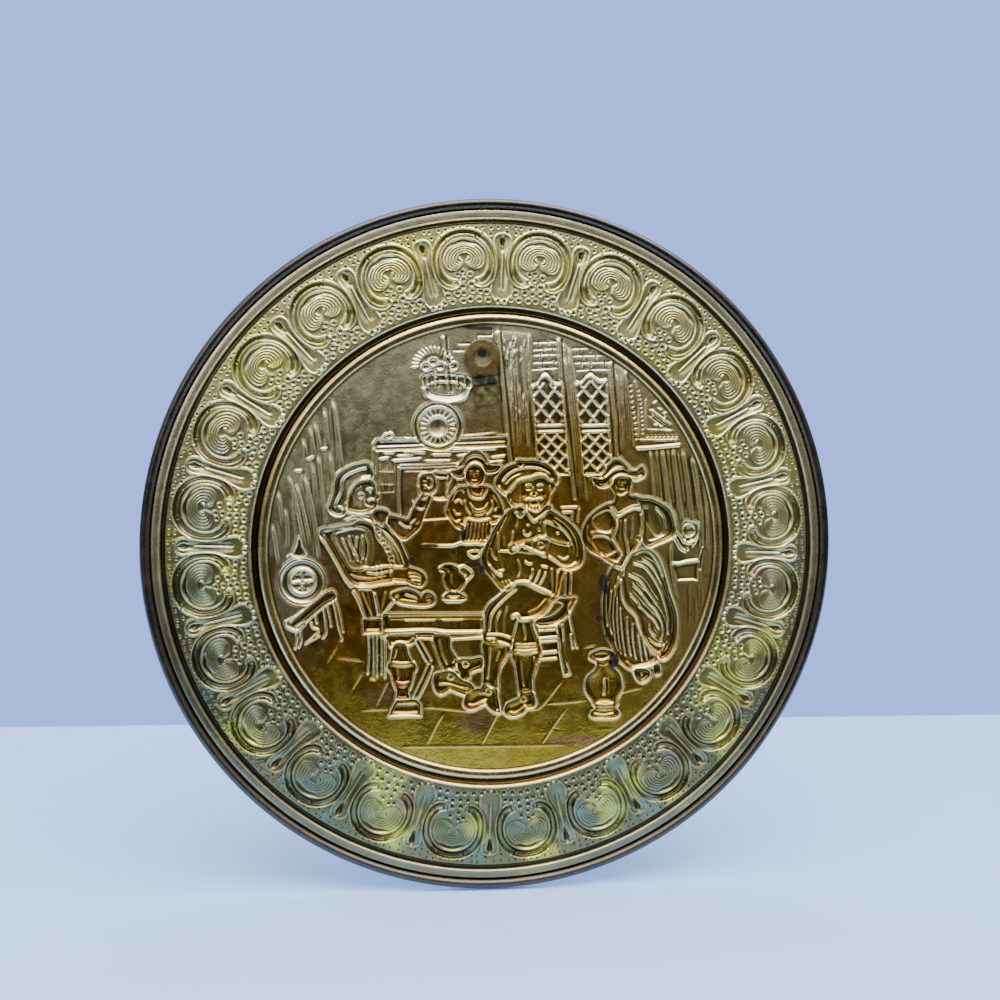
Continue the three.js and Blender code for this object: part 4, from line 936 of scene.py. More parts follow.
    r.line(10, -4.4, 11.4, -9, 10.6, -13.6, w=0.6, h=0.4)
    for flat in ((25.5, -8.4, 26, -14, 26.2, -19.4), (23, -10, 21.6, -13.6, 20, -16.4), (28.2, -10, 28.2,
        -15, 27.5, -19.4), (17, -8.6, 16.6, -12, 15, -15), (20.4, -9.4, 19, -13, 17.8, -15.6)):
        r.line(*flat, w=0.6, taper=0.8)
    r.line(8, -16.2, 10, -14.8, 14, -14.5, 17, -16, 22, -18.3, 26, -20.2, w=1.0, h=0.75)
    # right sleeve
    for q in (0, 1.9, 3.6):
        r.line(26 - 0.3 * q, 15 - q, 31.6 - q * 0.8, 11.2 - q, 35.4 - q, 6.4 - 0.6 * q, 37.2 - q,
            1 - 0.2 * q, 37 - q, -3.4 + 0.3 * q, w=0.6, h=0.42 - 0.04 * q)
    r.form(22.2, 11, 24, 11.6, 30, 8.6, 33.6, 4.2, 33, 2.6, 30, 2.8, 26.5, 3.8, 23, 6.4, depth=2.7,
        dome=0.4, wall=0.9, lip=0.4)
    r.dot(28, 7.2, 1.1, 0.8, h=0.5)
    r.line(36.8, -5.8, 34, -7.6, 30.4, -7.4, 27, -5, 23.8, -3, w=0.9, h=0.7)
    r.line(33.6, -3, 31, -4.4, 28, -3.2, w=0.6, h=0.4)
    # head
    r.form(5.4, 27.4, 8, 30, 12, 32, 20, 33.4, 25, 31.2, 25.6, 28, 23.9, 25, 23, 21.6, 20.6, 18.6, 17.6,
        16.2, 14, 17.6, 11.2, 19.6, 8.6, 19, 6, 21, 4.8, 24,
           depth=2.1, dome=0.7, wall=1.1, lip=0.25)
    r.form(-0.2, 28.8, 1.4, 33.4, 4.8, 36.4, 8.6, 38, 9.2, 39.4, 13, 39.2, 16, 39.4, 20, 38.6, 24, 36.6,
        26.6, 33.4, 27.2, 30.4, 25.6, 29.2, 24, 30.6, 21.5, 32.6,
           18.5, 32.8, 15.5, 31.6, 10, 30.2, 6.8, 26.8, 4.6, 24.2, 2, 25.6, depth=1.7, wall=1.1)
    r.line(0.8, 28.4, 2.2, 26.2, 4.6, 25, 6.7, 27.4, 10, 30.8, 15.5, 32.2, 18.5, 33.4, 21.5, 33.2, 24, 31.2,
        26.2, 30.6, w=0.95, h=0.75)
    r.line(2.4, 29.4, 5, 33, 9, 35.4, 14.6, 36.4, 20, 35.6, 24.4, 33.2, h=0.45)
    r.line(8.6, 37.4, 11, 36.4, 12.6, 38.4, w=0.55, h=0.35)
    r.line(4, 28.4, 7, 31.6, 11, 33.4, w=0.55, h=0.35)
    for k in range(5):
        r.line(6.2 + k, 27 + 0.7 * k, 7 + 0.9 * k, 23.6, 6.4 + 1.1 * k, 20.4, w=0.5, h=0.42, taper=1)
    r.line(5.2, 24.4, 7, 20.6, 10.4, 19.4, h=0.45)
    for x in (14.4, 19.6):
        r.line(x - 1.6, 28.2, x, 29, x + 1.6, 28.4, w=0.5, h=0.42, taper=0.6)
        r.dot(x, 26.9, 1.2, 0.8, h=-0.45)
        r.line(x - 1.1, 26.4, x, 26.1, x + 1.1, 26.4, w=0.4, h=0.28, taper=0.4)
    r.line(16.6, 28, 16.1, 25, 15.6, 24, 16.8, 23.4, 18.2, 23.9, 17.8, 25.4, w=0.5, h=0.4, taper=0.6)
    r.line(12.6, 21.6, 14.6, 22.6, 17, 22.2, 19.4, 22.8, 21.4, 21.8)
    r.form(15.2, 21.2, 17, 21.8, 18.8, 21.4, 18.4, 20, 17, 19.5, 15.6, 20, depth=3.0, dome=0.2, wall=0.6,
        lip=0.1)
    for k in range(5):
        r.line(13.6 + 1.5 * k, 19.8 - 0.25 * (2 - abs(k - 2)), 14.6 + 1.1 * k,
            17.2 - 0.4 * (2 - abs(k - 2)), w=0.45, h=0.4, taper=0.6)
    r.line(24.2, 29, 23.6, 25, 22.4, 21.8)
    r.dot(12.2, 24.4, 1.5, 1.3, h=-0.3)
    r.dot(21.2, 24.6, 1.4, 1.3, h=-0.3)
    # collar
    r.form(8.4, 17.4, 11, 15.4, 13.4, 17.2, 16.4, 13.2, 18, 13.1, 21.5, 15.8, 24.4, 18.8, 22, 19.4, 18,
        16.6, 14, 17.8, 10.8, 19.4,
           depth=1.6, dome=0.2, wall=0.8, lip=0.35)
    r.line(8.5, 17, 11, 14.2, 13.4, 16.6, 16.5, 13, 18, 13, 21.5, 15.7, 24.2, 18.4, h=0.55)


def draw_woman(r):
    """A woman who walks in from the right, her overskirt gathered up."""
    # skirt
    r.form(54, -6.6, 59, -7, 61, -20, 64.5, -29.5, 68, -39, 72, -45, 74.6, -48.8, 73, -51.2, 70, -52.4, 67,
        -53, 63.6, -53.6, 60.4, -52.6, 56, -48.4,
           52.6, -42, 49.6, -34, 49, -27, 49.2, -20, 51.2, -10.4, dome=0.4)
    for flat in (
        (53, -18, 52, -30, 53.6, -38.4), (54.5, -16, 53.8, -28, 55, -40, 56.6, -46.4), (55.6, -22, 56, -34,
            57.8, -47.4), (57, -26, 58.4, -38, 60, -48.4),
        (60.4, -30, 61, -38, 62.6, -48.6), (63, -33, 63.6, -42, 65, -50), (65.6, -37, 66.8, -44, 67.8, -51),
            (51.2, -14, 50.4, -24, 51.4, -35),
        (56, -12, 55.2, -18, 55.6, -24), (68.4, -42.6, 69.6, -47, 70.4, -51.4),
    ):
        r.line(*flat, w=0.62, h=0.55, taper=2)
        r.line(*[c + (0.95 if k % 2 == 0 else 0) for k, c in enumerate(flat)], w=0.6, h=-0.35, taper=2)
    r.line(59.8, -50.6, 63.5, -53, 67, -52.4, 70, -51.8, 72.6, -50.6, 74, -48.8, w=0.8, h=0.6)
    r.line(53, -42, 56.6, -48.4, 59.6, -52.4, 63.6, -55.4, 65, -57.6, w=0.9, h=0.55)
    r.form(64, -54.6, 67, -54, 70.6, -55, 70.8, -57.4, 68, -59.8, 65.4, -58.4, dome=0.4, wall=0.9)
    r.line(64.8, -57.4, 68, -59.2, 70.4, -57.6)
    r.line(67.4, -55, 67.8, -57.8, w=0.5, h=0.4)
    r.form(73, -52.4, 75.4, -52.4, 75.6, -56, 73.6, -56.4, depth=1.1, dome=0.3, wall=0.8, lip=0.2)
    # overskirt
    r.form(60.4, -2.6, 63.4, -1, 67, 0.3, 70.4, -0.4, 73.6, -3.6, 75.8, -8, 77.4, -13, 79.6, -20, 82.4, -28,
        83.2, -36, 82.2, -43, 79, -48.4, 76, -49.2,
           72, -45.6, 68.6, -41, 66.4, -35.4, 64.4, -30, 60.6, -26, 58.4, -21, 57.2, -14, 58, -7, depth=1.9,
               dome=0.6, lip=0.28)
    r.line(57, -13, 58.5, -22, 61, -26.4, 64.5, -29.6, 66.2, -33, 67.4, -38, 70, -42.4, 73, -45.8, 76.4,
        -48.4, w=1.3, h=0.95)
    for flat, h in (
        ((66.5, -19, 70, -23.5, 74, -28, 76.5, -33, 77.3, -38, 76, -42.4), 0.6), ((65, -25, 70, -29, 73.5,
            -32.5, 75.5, -36.4), 0.6),
        ((70.5, -33.4, 71.6, -37, 73.8, -39.6), 0.5), ((70, -40, 74, -43, 77.4, -43.6), 0.55), ((60, -11,
            66, -14, 70, -19.4, 74, -25), 0.5),
        ((62, -6, 68, -8, 73, -14, 77, -22, 79.4, -31, 79.4, -39), 0.45), ((62, -15, 66.6, -19.6, 71.4,
            -25.6), 0.4), ((66, -4, 71, -7, 74.6, -13, 78, -21), 0.4),
        ((61, -19.6, 65.6, -24.4, 71, -30.6), 0.45), ((78.6, -42, 77.2, -45.4, 75, -47), 0.45),
    ):
        r.line(*flat, w=0.8, h=h, taper=2.5)
        r.line(*[c + (1.1 if k % 2 == 0 else 0.6) for k, c in enumerate(flat)], w=0.8, h=-0.35, taper=2.5)
    r.line(63, -2, 67, -0.5, 70, -1.1, 73, -4.2, 75, -8, 76.5, -13, w=0.9, h=0.6)
    # sleeves and bodice
    r.form(51.6, 20.4, 46, 18, 41.6, 14, 39.4, 9, 39.6, 4, 42.4, 0, 47, -2.6, 51, -5, 56, -7.4, 58, -4.4,
        55.4, 1.6, 53.4, 5.4, 54.6, 11, 55, 15.4,
           depth=2.0, dome=0.7)
    r.form(54.8, 15.2, 58, 16.8, 62, 18.8, 65.6, 19, 67, 15, 67, 8, 64, 2, 60.4, -3, 57.4, -8, 55, -6, 57,
        -2, 54.4, 2.4, 53.6, 6, 55, 10.6, wall=1.1, lip=0.25)
    r.form(62, 23.8, 66, 23.2, 70, 23, 75, 20.8, 79, 17.4, 81, 12, 80.6, 6.8, 76.6, 4.4, 73, 3, 69.4, 1.6,
        66.4, 4.6, 66.8, 10, 67, 16, 64.8, 19.6,
           depth=2.2, dome=0.9)
    r.form(44, 14, 50, 17.6, 53, 15, 53.6, 10, 50, 8, 45.6, 9.4, depth=2.7, lip=0.2)
    r.form(43.5, 4.6, 48, 5.8, 52, 4, 54.6, 0, 51, -2.4, 47, -1.2, depth=2.7, lip=0.2)
    r.line(42.6, 7.2, 47, 7.3, 52.6, 6.4, w=1.5)
    r.line(41.4, 12.4, 40.8, 7.4, 42.4, 3, h=0.4)
    r.line(47.4, -1.6, 51, -4.2, 55.5, -6.2, w=0.9, h=0.6)
    r.line(54.5, 14, 53.6, 9, 52.8, 5, 55, 1, 57.4, -2.6, w=0.8, h=0.6)
    r.line(58.6, 14, 58.4, 8, 59.4, 3, 60.2, -2, w=0.8, h=0.6)
    r.line(56.4, 13.4, 56, 8, 56, 4, w=0.5, h=0.3)
    r.line(61.6, 15, 62, 9, 61.6, 4, w=0.55, h=0.35)
    r.form(67.4, 18.4, 70.6, 18, 73.4, 13.6, 75.6, 8.2, 73, 6.4, 70, 9.6, 68, 14, depth=3.0, dome=0.3,
        wall=1.4, lip=0.1)
    r.line(72, 19.6, 76, 15, 77.4, 9.4, w=0.8, h=0.45)
    r.line(65.4, 16.6, 66.6, 10.4, 66, 5, w=0.8)
    r.dot(64.8, 5.3, 1.6, 1.6, h=-0.8)
    r.line(69.4, 3.8, 73, 4.6, 77, 6.6, h=0.45)
    r.line(60.6, -2.6, 58.6, -7, 58, -12, h=0.4)
    # neck and neckline
    r.form(51.6, 29, 53.6, 24.6, 53, 21.6, 51, 19.8, 54.4, 15.4, 58, 17, 62, 18.8, 65.4, 19, 63.4, 23.6,
        60.2, 24.8, 59.2, 28, depth=1.5, dome=0.4, wall=1.0, lip=0.15)
    for q in (0, 1.4):
        r.line(51.4, 19.6 + q, 54.5, 15.6 + q, 55.6, 15.2 + q, 58, 16.6 + q, 62, 18.4 + q, 65, 18.8 + q,
            w=0.6, h=0.55 - 0.15 * q)
    # head and winged cap
    r.form(47.6, 32.4, 48.6, 35, 50, 38, 52.4, 40.2, 55, 40.3, 58, 38, 60.4, 35.6, 63, 35.6, 65.2, 37.4,
        66.6, 34, 63, 31.8, 60, 32.4, depth=1.2, dome=0.4, wall=1.0)
    r.form(53, 33, 56, 34.6, 59.8, 33.2, 60.2, 29.6, 59.2, 26.6, 56.4, 24.6, 53.6, 26, 52.6, 29.4,
        depth=2.0, dome=0.6, wall=1.0, lip=0.2)
    r.form(43, 32, 44.2, 29.4, 47, 27.9, 50.2, 28.7, 52.2, 31.2, 55.6, 33.1, 60, 32.6, 63.2, 31.9, 66, 33.9,
        64, 35, 60.4, 35, 56.6, 36.6, 53.4, 36.4, 50.4, 33.6,
           47, 31.4, dome=0.3, wall=0.8, lip=0.35)
    r.line(43.5, 31.3, 44.5, 29.6, 47, 28.4, 50, 29.1, 52, 31.5, 55.5, 33.5, 60, 33.1, 63, 32.4, 65.5, 33.8,
        w=0.95, h=0.75)
    r.line(43.4, 32, 46, 31.4, 49, 32.4, 52.4, 35.6, 56, 36.8, w=0.65)
    for x in (55.0, 58.2):
        r.line(x - 0.8, 31.2, x + 0.9, 31.2, w=0.42, h=0.32, taper=0.4)
        r.dot(x, 30.2, 0.75, 0.5, h=0.35)
    r.line(56.8, 30.6, 56.9, 28.8, 56.1, 28.6, w=0.4, h=0.3, taper=0.4)
    r.line(55.4, 27.2, 56.6, 26.9, 57.8, 27.2, w=0.4, h=0.32, taper=0.3)
    for k in range(3):
        r.line(53.2 + 0.5 * k, 32 - 0.4 * k, 53 + 0.4 * k, 29, 53.8 + 0.4 * k, 26.6, w=0.4, h=0.3, taper=0.8)


def draw_floor_jug(r):
    r.form(44, -48.6, 46.6, -49.8, 46.8, -52, 46, -54.4, 43, -57, 41.7, -60, 42.6, -64.2, 45.4, -68, 47,
        -70.4, 55, -70.4, 55.8, -67, 57.4, -64, 58.1, -61, 57.6, -58,
           56.2, -55.4, 53, -52.6, 52.6, -50, depth=1.9, dome=0.9, lip=0.35)
    r.form(43.4, -47.6, 46.8, -45.6, 50.4, -45.3, 54.2, -47, 50.4, -50.4, 46, -50, depth=1.5, dome=0.3,
        wall=0.9, lip=0.35)
    r.line(44.2, -47.8, 46, -49.4, 50, -49.9, 53.6, -47.4, h=0.6)
    r.line(45.2, -47.4, 49, -46.6, 52.4, -47, w=0.5, h=0.35)
    r.line(46.2, -51.6, 49.6, -52.4, 53, -51.8, w=0.55, h=0.45)
    r.line(50.6, -58, 50.8, -62, 50.4, -66.4, w=0.95, h=0.7)
    r.line(52.1, -58.6, 52.2, -65.4, w=0.6, h=-0.5)
    r.form(46.8, -69.4, 55.2, -69.4, 55.2, -71.6, 57, -73.6, 55.6, -75.8, 50, -76, 45.6, -75.6, 44.4, -73.8,
        46.8, -71.6, depth=1.5, dome=0.3, wall=0.9, lip=0.35)
    for y, half, h in ((-69.9, 4.2, 0.6), (-71.3, 4.2, 0.5), (-72.6, 5.0, 0.5)):
        r.line(50.9 - half, y, 50.9, y - 0.5, 50.9 + half, y, w=0.55, h=h, taper=0.5)
    r.line(45.4, -74.4, 50.4, -75.2, 55.6, -74.3, w=0.85, h=0.75)


def draw_floor(r, rng):
    for flat in (
        (-40, -88, -20, -88.2, 10, -88.4, 33, -88.2), (-31, -70.4, -24, -70.9, -10, -72.6), (24, -69.4, 34,
            -68.8, 42.6, -67.8), (39, -44.3, 48, -42.6),
        (57.6, -64.6, 68, -62.4), (-70, -48, -56.5, -49.6), (-68, -42, -74, -51), (-57, -53, -63, -63),
            (-22, -73, -25.5, -79, -29, -86.6),
        (2.2, -73, -1.6, -81, -5, -87.6), (33, -71.6, 28, -78.6, 22, -88), (31.3, -58.3, 27, -64, 21.4,
            -70.8, 17, -72.4), (-58, -71.4, -46, -71),
        (-46, -57, -52, -69.6),
    ):
        r.line(*flat, w=0.6, h=0.22, taper=5)
    for _ in range(26):
        a, q = rng.uniform(-2.6, -0.5), rng.uniform(55, 95)
        x, y = q * math.cos(a), q * math.sin(a)
        r.line(x, y, x + rng.uniform(3, 9), y + rng.uniform(-1.5, 1.5), w=0.5, h=rng.uniform(-0.07, 0.07),
            taper=3)


def draw_scene(r):
    rng = np.random.default_rng(11)
    draw_boards(r, rng)
    draw_timbers(r, rng)
    draw_windows(r)
    draw_brickwork(r)
    draw_fireplace(r, rng)
    draw_dish(r)
    draw_lamp(r)
    draw_picture(r)
    draw_curtain(r, rng)
    draw_floor(r, rng)
    draw_wheel(r)
    draw_left_chair(r)
    draw_maid(r)
    draw_table(r)
    draw_left_man(r)
    draw_middle_man(r)
    draw_woman(r)
    draw_floor_jug(r)


# ---- meshes ----
def warp(x, z):
    """The sheet's slight waves, in millimetres."""
    return 0.16 * np.sin(x / 41 + 0.7) * np.cos(z / 37 - 0.4) + 0.1 * np.sin((x + 1.3 * z) / 23)


def middle():
    """The plate's middle in the row frame, in millimetres."""
    lo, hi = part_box("pressed_sheet")
    return (lo.x + hi.x) / 2 / MM, (lo.z + hi.z) / 2 / MM


def placed(u, v, h):
    cx, cz = middle()
    return np.stack([cx + u, FACE_Y - h + warp(u, v), cz + v], -1).reshape(-1, 3) * MM


def mesh_of(name, points, faces, flip=False):
    faces = np.asarray(faces, np.int32)
    if flip:
        faces = faces[:, ::-1]
    mesh = bpy.data.meshes.new(name)
    mesh.vertices.add(len(points))
    mesh.vertices.foreach_set("co", np.asarray(points, np.float32).ravel())
    mesh.loops.add(faces.size)
    mesh.loops.foreach_set("vertex_index", faces.ravel())
    mesh.polygons.add(len(faces))
    mesh.polygons.foreach_set("loop_start", np.arange(0, faces.size, faces.shape[1], dtype=np.int32))
    mesh.update(calc_edges=True)
    mesh.shade_smooth()
    obj = bpy.data.objects.new(name, mesh)
    bpy.context.scene.collection.objects.link(obj)
    return obj


def grid_faces(rows, columns, closed=False):
    """Quads of a grid numbered row by row, facing out when rows run up and columns run to +X (towards -Y)."""
    wrap = columns if closed else columns - 1
    j, i = np.meshgrid(np.arange(rows - 1), np.arange(wrap), indexing="ij")
    nxt = (i + 1) % columns
    a, b = j * columns + i, j * columns + nxt
    return np.stack([a, b, b + columns, a + columns], -1).reshape(-1, 4)


def modified(obj):
    """The object, its modifiers baked into a plain mesh."""
    bpy.context.view_layer.update()
    deps = bpy.context.evaluated_depsgraph_get()
    mesh = bpy.data.meshes.new_from_object(obj.evaluated_get(deps), depsgraph=deps)
    old = obj.data
    obj.modifiers.clear()
    obj.data = mesh
    bpy.data.meshes.remove(old)
    return obj


def decimated(obj, ratio, pin=None):
    tri = obj.modifiers.new("fewer", "DECIMATE")
    tri.ratio = ratio
    if pin is not None:
        group = obj.vertex_groups.new(name="free")
        group.add([int(i) for i in np.flatnonzero(~pin)], 1.0, "REPLACE")
        tri.vertex_group = "free"
    return modified(obj)


def join(objs, name):
    for o in bpy.context.view_layer.objects:
        o.select_set(o in objs)
    bpy.context.view_layer.objects.active = objs[0]
    bpy.ops.object.join()
    objs[0].name = objs[0].data.name = name
    return objs[0]


def coords(mesh):
    co = np.empty(len(mesh.vertices) * 3, np.float32)
    mesh.vertices.foreach_get("co", co)
    return co.reshape(-1, 3).astype(float)


def set_normals(obj, slope_u, slope_v):
    """Normals from the height's slopes, towards the wall where the vertex belongs to that side."""
    mesh = obj.data
    before = np.empty(len(mesh.vertices) * 3, np.float32)
    mesh.vertices.foreach_get("normal", before)
    side = np.where(before.reshape(-1, 3)[:, 1] < 0, 1.0, -1.0)
    n = np.stack([-slope_u, -np.ones(len(slope_u)), -slope_v], -1) * side[:, None]
    n /= np.linalg.norm(n, axis=1)[:, None]
    mesh.normals_split_custom_set_from_vertices(n.tolist())
    return side


def set_wear_dirt_light(obj, values):
    """Where hands and cloths have worn the metal, with painted highlight (above 0), and where grime has
    stayed, with painted shade (below 0).
    """
    held = obj.data.attributes.new("wear_dirt_light", "FLOAT", "POINT")
    held.data.foreach_set("value", np.asarray(values, np.float32))


def disc_layer(r, radius, step, drop, name, facing, side):
    """Half of the relief inside a circle (side -1 left, 1 right), its edge brought onto the circle."""
    n = int(radius / step) + 2
    u, v = np.meshgrid(np.arange(-n, n + 1) * step, np.arange(-n, n + 1) * step)
    away = np.hypot(u, v)
    snap = away > radius - 0.45 * step
    scale = np.where(snap & (away > 0), radius / np.maximum(away, 1e-9), 1)
    keep = (away <= radius + 0.75 * step) & (u * side > -step / 2)
    quads = grid_faces(2 * n + 1, 2 * n + 1)
    quads = quads[keep.ravel()[quads].all(1)]
    used, index = np.unique(quads, return_inverse=True)
    u, v = (u * scale).ravel()[used], (v * scale).ravel()[used]
    obj = mesh_of(name, placed(u, v, r.at(r.h, u, v) - drop), index.reshape(-1, 4), flip=facing > 0)
    return obj, np.abs(u) < step / 2


def lathe(name, profile):
    """A closed turned ring from (radius, height) points, listed so that it faces out."""
    p = np.array(profile)
    a = np.arange(RING_SIDES) * 2 * math.pi / RING_SIDES
    u, v = np.outer(p[:, 0], np.sin(a)), np.outer(p[:, 0], np.cos(a))
    h = np.repeat(p[:, 1:2], RING_SIDES, 1)
    n = len(p)
    faces = grid_faces(n + 1, RING_SIDES, True) % (n * RING_SIDES)
    return mesh_of(name, placed(u, v, h), faces)


def rounded(points):
    """Height along the radius through corner points, with the corners softened."""
    blur, step, reach = 0.22, 0.2, 4
    p = np.array(points, float)
    r = np.arange(p[0, 0], p[-1, 0] + step / 2, step)
    h = np.interp(r, p[:, 0], p[:, 1])
    k = np.exp(-0.5 * (np.arange(-reach, reach + 1) * step / blur) ** 2)
    wide = np.pad(h, reach, mode="reflect", reflect_type="odd")
    return list(zip(r, np.convolve(wide, k / k.sum(), "valid")))


# ---- materials ----
def node(tree, kind, **values):
    made = tree.nodes.new(kind)
    for key, value in values.items():
        if key in made.inputs:
            made.inputs[key].default_value = value
        else:
            setattr(made, key, value)
    return made


def maths(tree, kind, a, b=0.0, c=0.0):
    m = node(tree, "ShaderNodeMath", operation=kind)
    for socket, value in zip(m.inputs, (a, b, c)):
        if isinstance(value, (int, float)):
            socket.default_value = value
        else:
            tree.links.new(value, socket)
    return m.outputs[0]


def noise(tree, vector, scale, detail=4.0, rough=0.6, low=0.35, high=0.65):
    n = node(tree, "ShaderNodeTexNoise", Scale=scale, Detail=detail, Roughness=rough)
    tree.links.new(vector, n.inputs["Vector"])
    ramp = node(tree, "ShaderNodeMapRange", interpolation_type="SMOOTHSTEP")
    ramp.inputs["From Min"].default_value, ramp.inputs["From Max"].default_value = low, high
    tree.links.new(n.outputs["Fac"], ramp.inputs["Value"])
    return ramp.outputs["Result"]


def blended(tree, factor, a, b):
    m = node(tree, "ShaderNodeMix", data_type="RGBA")
    for socket, value in zip((m.inputs[0], m.inputs[6], m.inputs[7]), (factor, a, b)):
        if hasattr(value, "links"):
            tree.links.new(value, socket)
        else:
            socket.default_value = value
    return m.outputs[2]


def span(tree, value, low, high, start=0.0, end=1.0):
    m = node(tree, "ShaderNodeMapRange", interpolation_type="SMOOTHSTEP")
    for key, number in zip(("From Min", "From Max", "To Min", "To Max"), (low, high, start, end)):
        m.inputs[key].default_value = number
    tree.links.new(value, m.inputs["Value"])
    return m.outputs["Result"]


def group_of(name, ins, outs):
    tree = bpy.data.node_groups.new(name, "ShaderNodeTree")
    for label, kind in ins:
        tree.interface.new_socket(label, in_out="INPUT", socket_type=kind)
    for label, kind in outs:
        tree.interface.new_socket(label, in_out="OUTPUT", socket_type=kind)
    return tree, tree.nodes.new("NodeGroupInput"), tree.nodes.new("NodeGroupOutput")


def place_group():
    """Splits a point into radius from the plate's middle, height up it and side-to-side place, in metres."""
    tree, start, end = group_of(
        "Plate place", [("Vector", "NodeSocketVector")],
        [("Radius", "NodeSocketFloat"), ("Up", "NodeSocketFloat"), ("Side", "NodeSocketFloat"), ("Local",
            "NodeSocketVector")],
    )
    cx, cz = middle()
    shift = node(tree, "ShaderNodeVectorMath", operation="SUBTRACT")
    shift.inputs[1].default_value = (cx * MM, 0, cz * MM)
    tree.links.new(start.outputs[0], shift.inputs[0])
    flat = node(tree, "ShaderNodeVectorMath", operation="MULTIPLY")
    flat.inputs[1].default_value = (1, 0, 1)
    tree.links.new(shift.outputs[0], flat.inputs[0])
    length = node(tree, "ShaderNodeVectorMath", operation="LENGTH")
    tree.links.new(flat.outputs[0], length.inputs[0])
    parts = node(tree, "ShaderNodeSeparateXYZ")
    tree.links.new(shift.outputs[0], parts.inputs[0])
    tree.links.new(length.outputs["Value"], end.inputs["Radius"])
    tree.links.new(parts.outputs["Z"], end.inputs["Up"])
    tree.links.new(parts.outputs["X"], end.inputs["Side"])
    tree.links.new(shift.outputs[0], end.inputs["Local"])
    return tree


def patina_group():
    """Cloudy tarnish: a broad mask, a fine one, speckles and a fine bump height."""
    tree, start, end = group_of(
        "Tarnish", [("Vector", "NodeSocketVector")],
        [("Broad", "NodeSocketFloat"), ("Fine", "NodeSocketFloat"), ("Speck", "NodeSocketFloat"), ("Height",
            "NodeSocketFloat")],
    )
    v = start.outputs[0]
    tree.links.new(noise(tree, v, 26, 5, 0.62, 0.36, 0.66), end.inputs["Broad"])
    tree.links.new(noise(tree, v, 160, 5, 0.7, 0.38, 0.68), end.inputs["Fine"])
    tree.links.new(noise(tree, v, 420, 3, 0.6, 0.6, 0.72), end.inputs["Speck"])
    tree.links.new(noise(tree, v, 1100, 3, 0.6, 0.2, 0.8), end.inputs["Height"])
    return tree


def spots(tree, local, listed):
    """One mask from soft oval spots (x, z, rx, rz in millimetres) with ragged edges."""
    rag = node(tree, "ShaderNodeTexNoise", Scale=300, Detail=4)
    tree.links.new(local, rag.inputs["Vector"])
    total = None
    for x, z, rx, rz in listed:
        move = node(tree, "ShaderNodeVectorMath", operation="SUBTRACT")
        move.inputs[1].default_value = (x * MM, 0, z * MM)
        tree.links.new(local, move.inputs[0])
        size = node(tree, "ShaderNodeVectorMath", operation="MULTIPLY")
        size.inputs[1].default_value = (1 / (rx * MM), 0, 1 / (rz * MM))
        tree.links.new(move.outputs[0], size.inputs[0])
        away = node(tree, "ShaderNodeVectorMath", operation="LENGTH")
        tree.links.new(size.outputs[0], away.inputs[0])
        rough = maths(tree, "MULTIPLY_ADD", rag.outputs["Fac"], 0.9, away.outputs["Value"])
        one = span(tree, rough, 1.05, 1.65, 1, 0)
        total = one if total is None else maths(tree, "MAXIMUM", total, one)
    return total


# Near-black spots (x, z, rx, rz): dark patches among the figures, and at (-7.6, 86.4) a painted shadow of the
# tab on the sheet behind its hole.
DARK_AND_SHADOW_SPOTS = (
    (-35, 2, 1.2, 1.1), (-18.8, -1.3, 1.9, 1.8), (-37, -4.8, 1.9, 2.4), (-14.4, 7, 1.7, 3.2), (-10, -6.5,
        4.5, 1.6),
    (-6, -9, 1.8, 2.6), (48.5, -14, 2.4, 5), (47, -31, 2.0, 2.2), (54.5, -49.5, 2.6, 4.4), (51, -38.5, 1.4,
        1.4),
    (-9, 97, 9, 1.2), (50, -18, 1.6, 3), (-7.6, 86.4, 3.4, 2.6), (-21, -7.5, 2.6, 1.2), (-29, 1.6, 4.5, 0.9),
)
COPPER_SPOTS = (
    (-8, -76, 8, 7), (45.5, -26.5, 3.5, 4.5), (46, -18, 3, 4), (-42, -62, 9, 6), (-97, -9, 4, 7), (36, -86,
        12, 3),
    (-74, -2, 3, 6), (-50, -66, 8, 5),
)
SOLDER_SPOTS = ((-5.0, 69.8, 3.9, 2.2), (-4.2, 65.6, 3.4, 2.2))
# Painted shade where the strap bends down from the disc.
BEND_SHADE_SPOTS = ((-8.2, 74.6, 2.6, 2.4), (-3.4, 73.8, 2.8, 2.2))


def brass_nodes(mat):
    """The material's tree and shader, the plate's place outputs and the tarnish masks."""
    mat.use_nodes = True
    tree = mat.node_tree
    shader = next(n for n in tree.nodes if n.type == "BSDF_PRINCIPLED")
    shader.inputs["Metallic"].default_value = 1.0
    at = node(tree, "ShaderNodeTexCoord")
    groups = [node(tree, "ShaderNodeGroup", node_tree=bpy.data.node_groups[n]) for n in ("Plate place",
        "Tarnish")]
    for group in groups:
        tree.links.new(at.outputs["Object"], group.inputs[0])
    return tree, shader, groups[0].outputs, groups[1].outputs


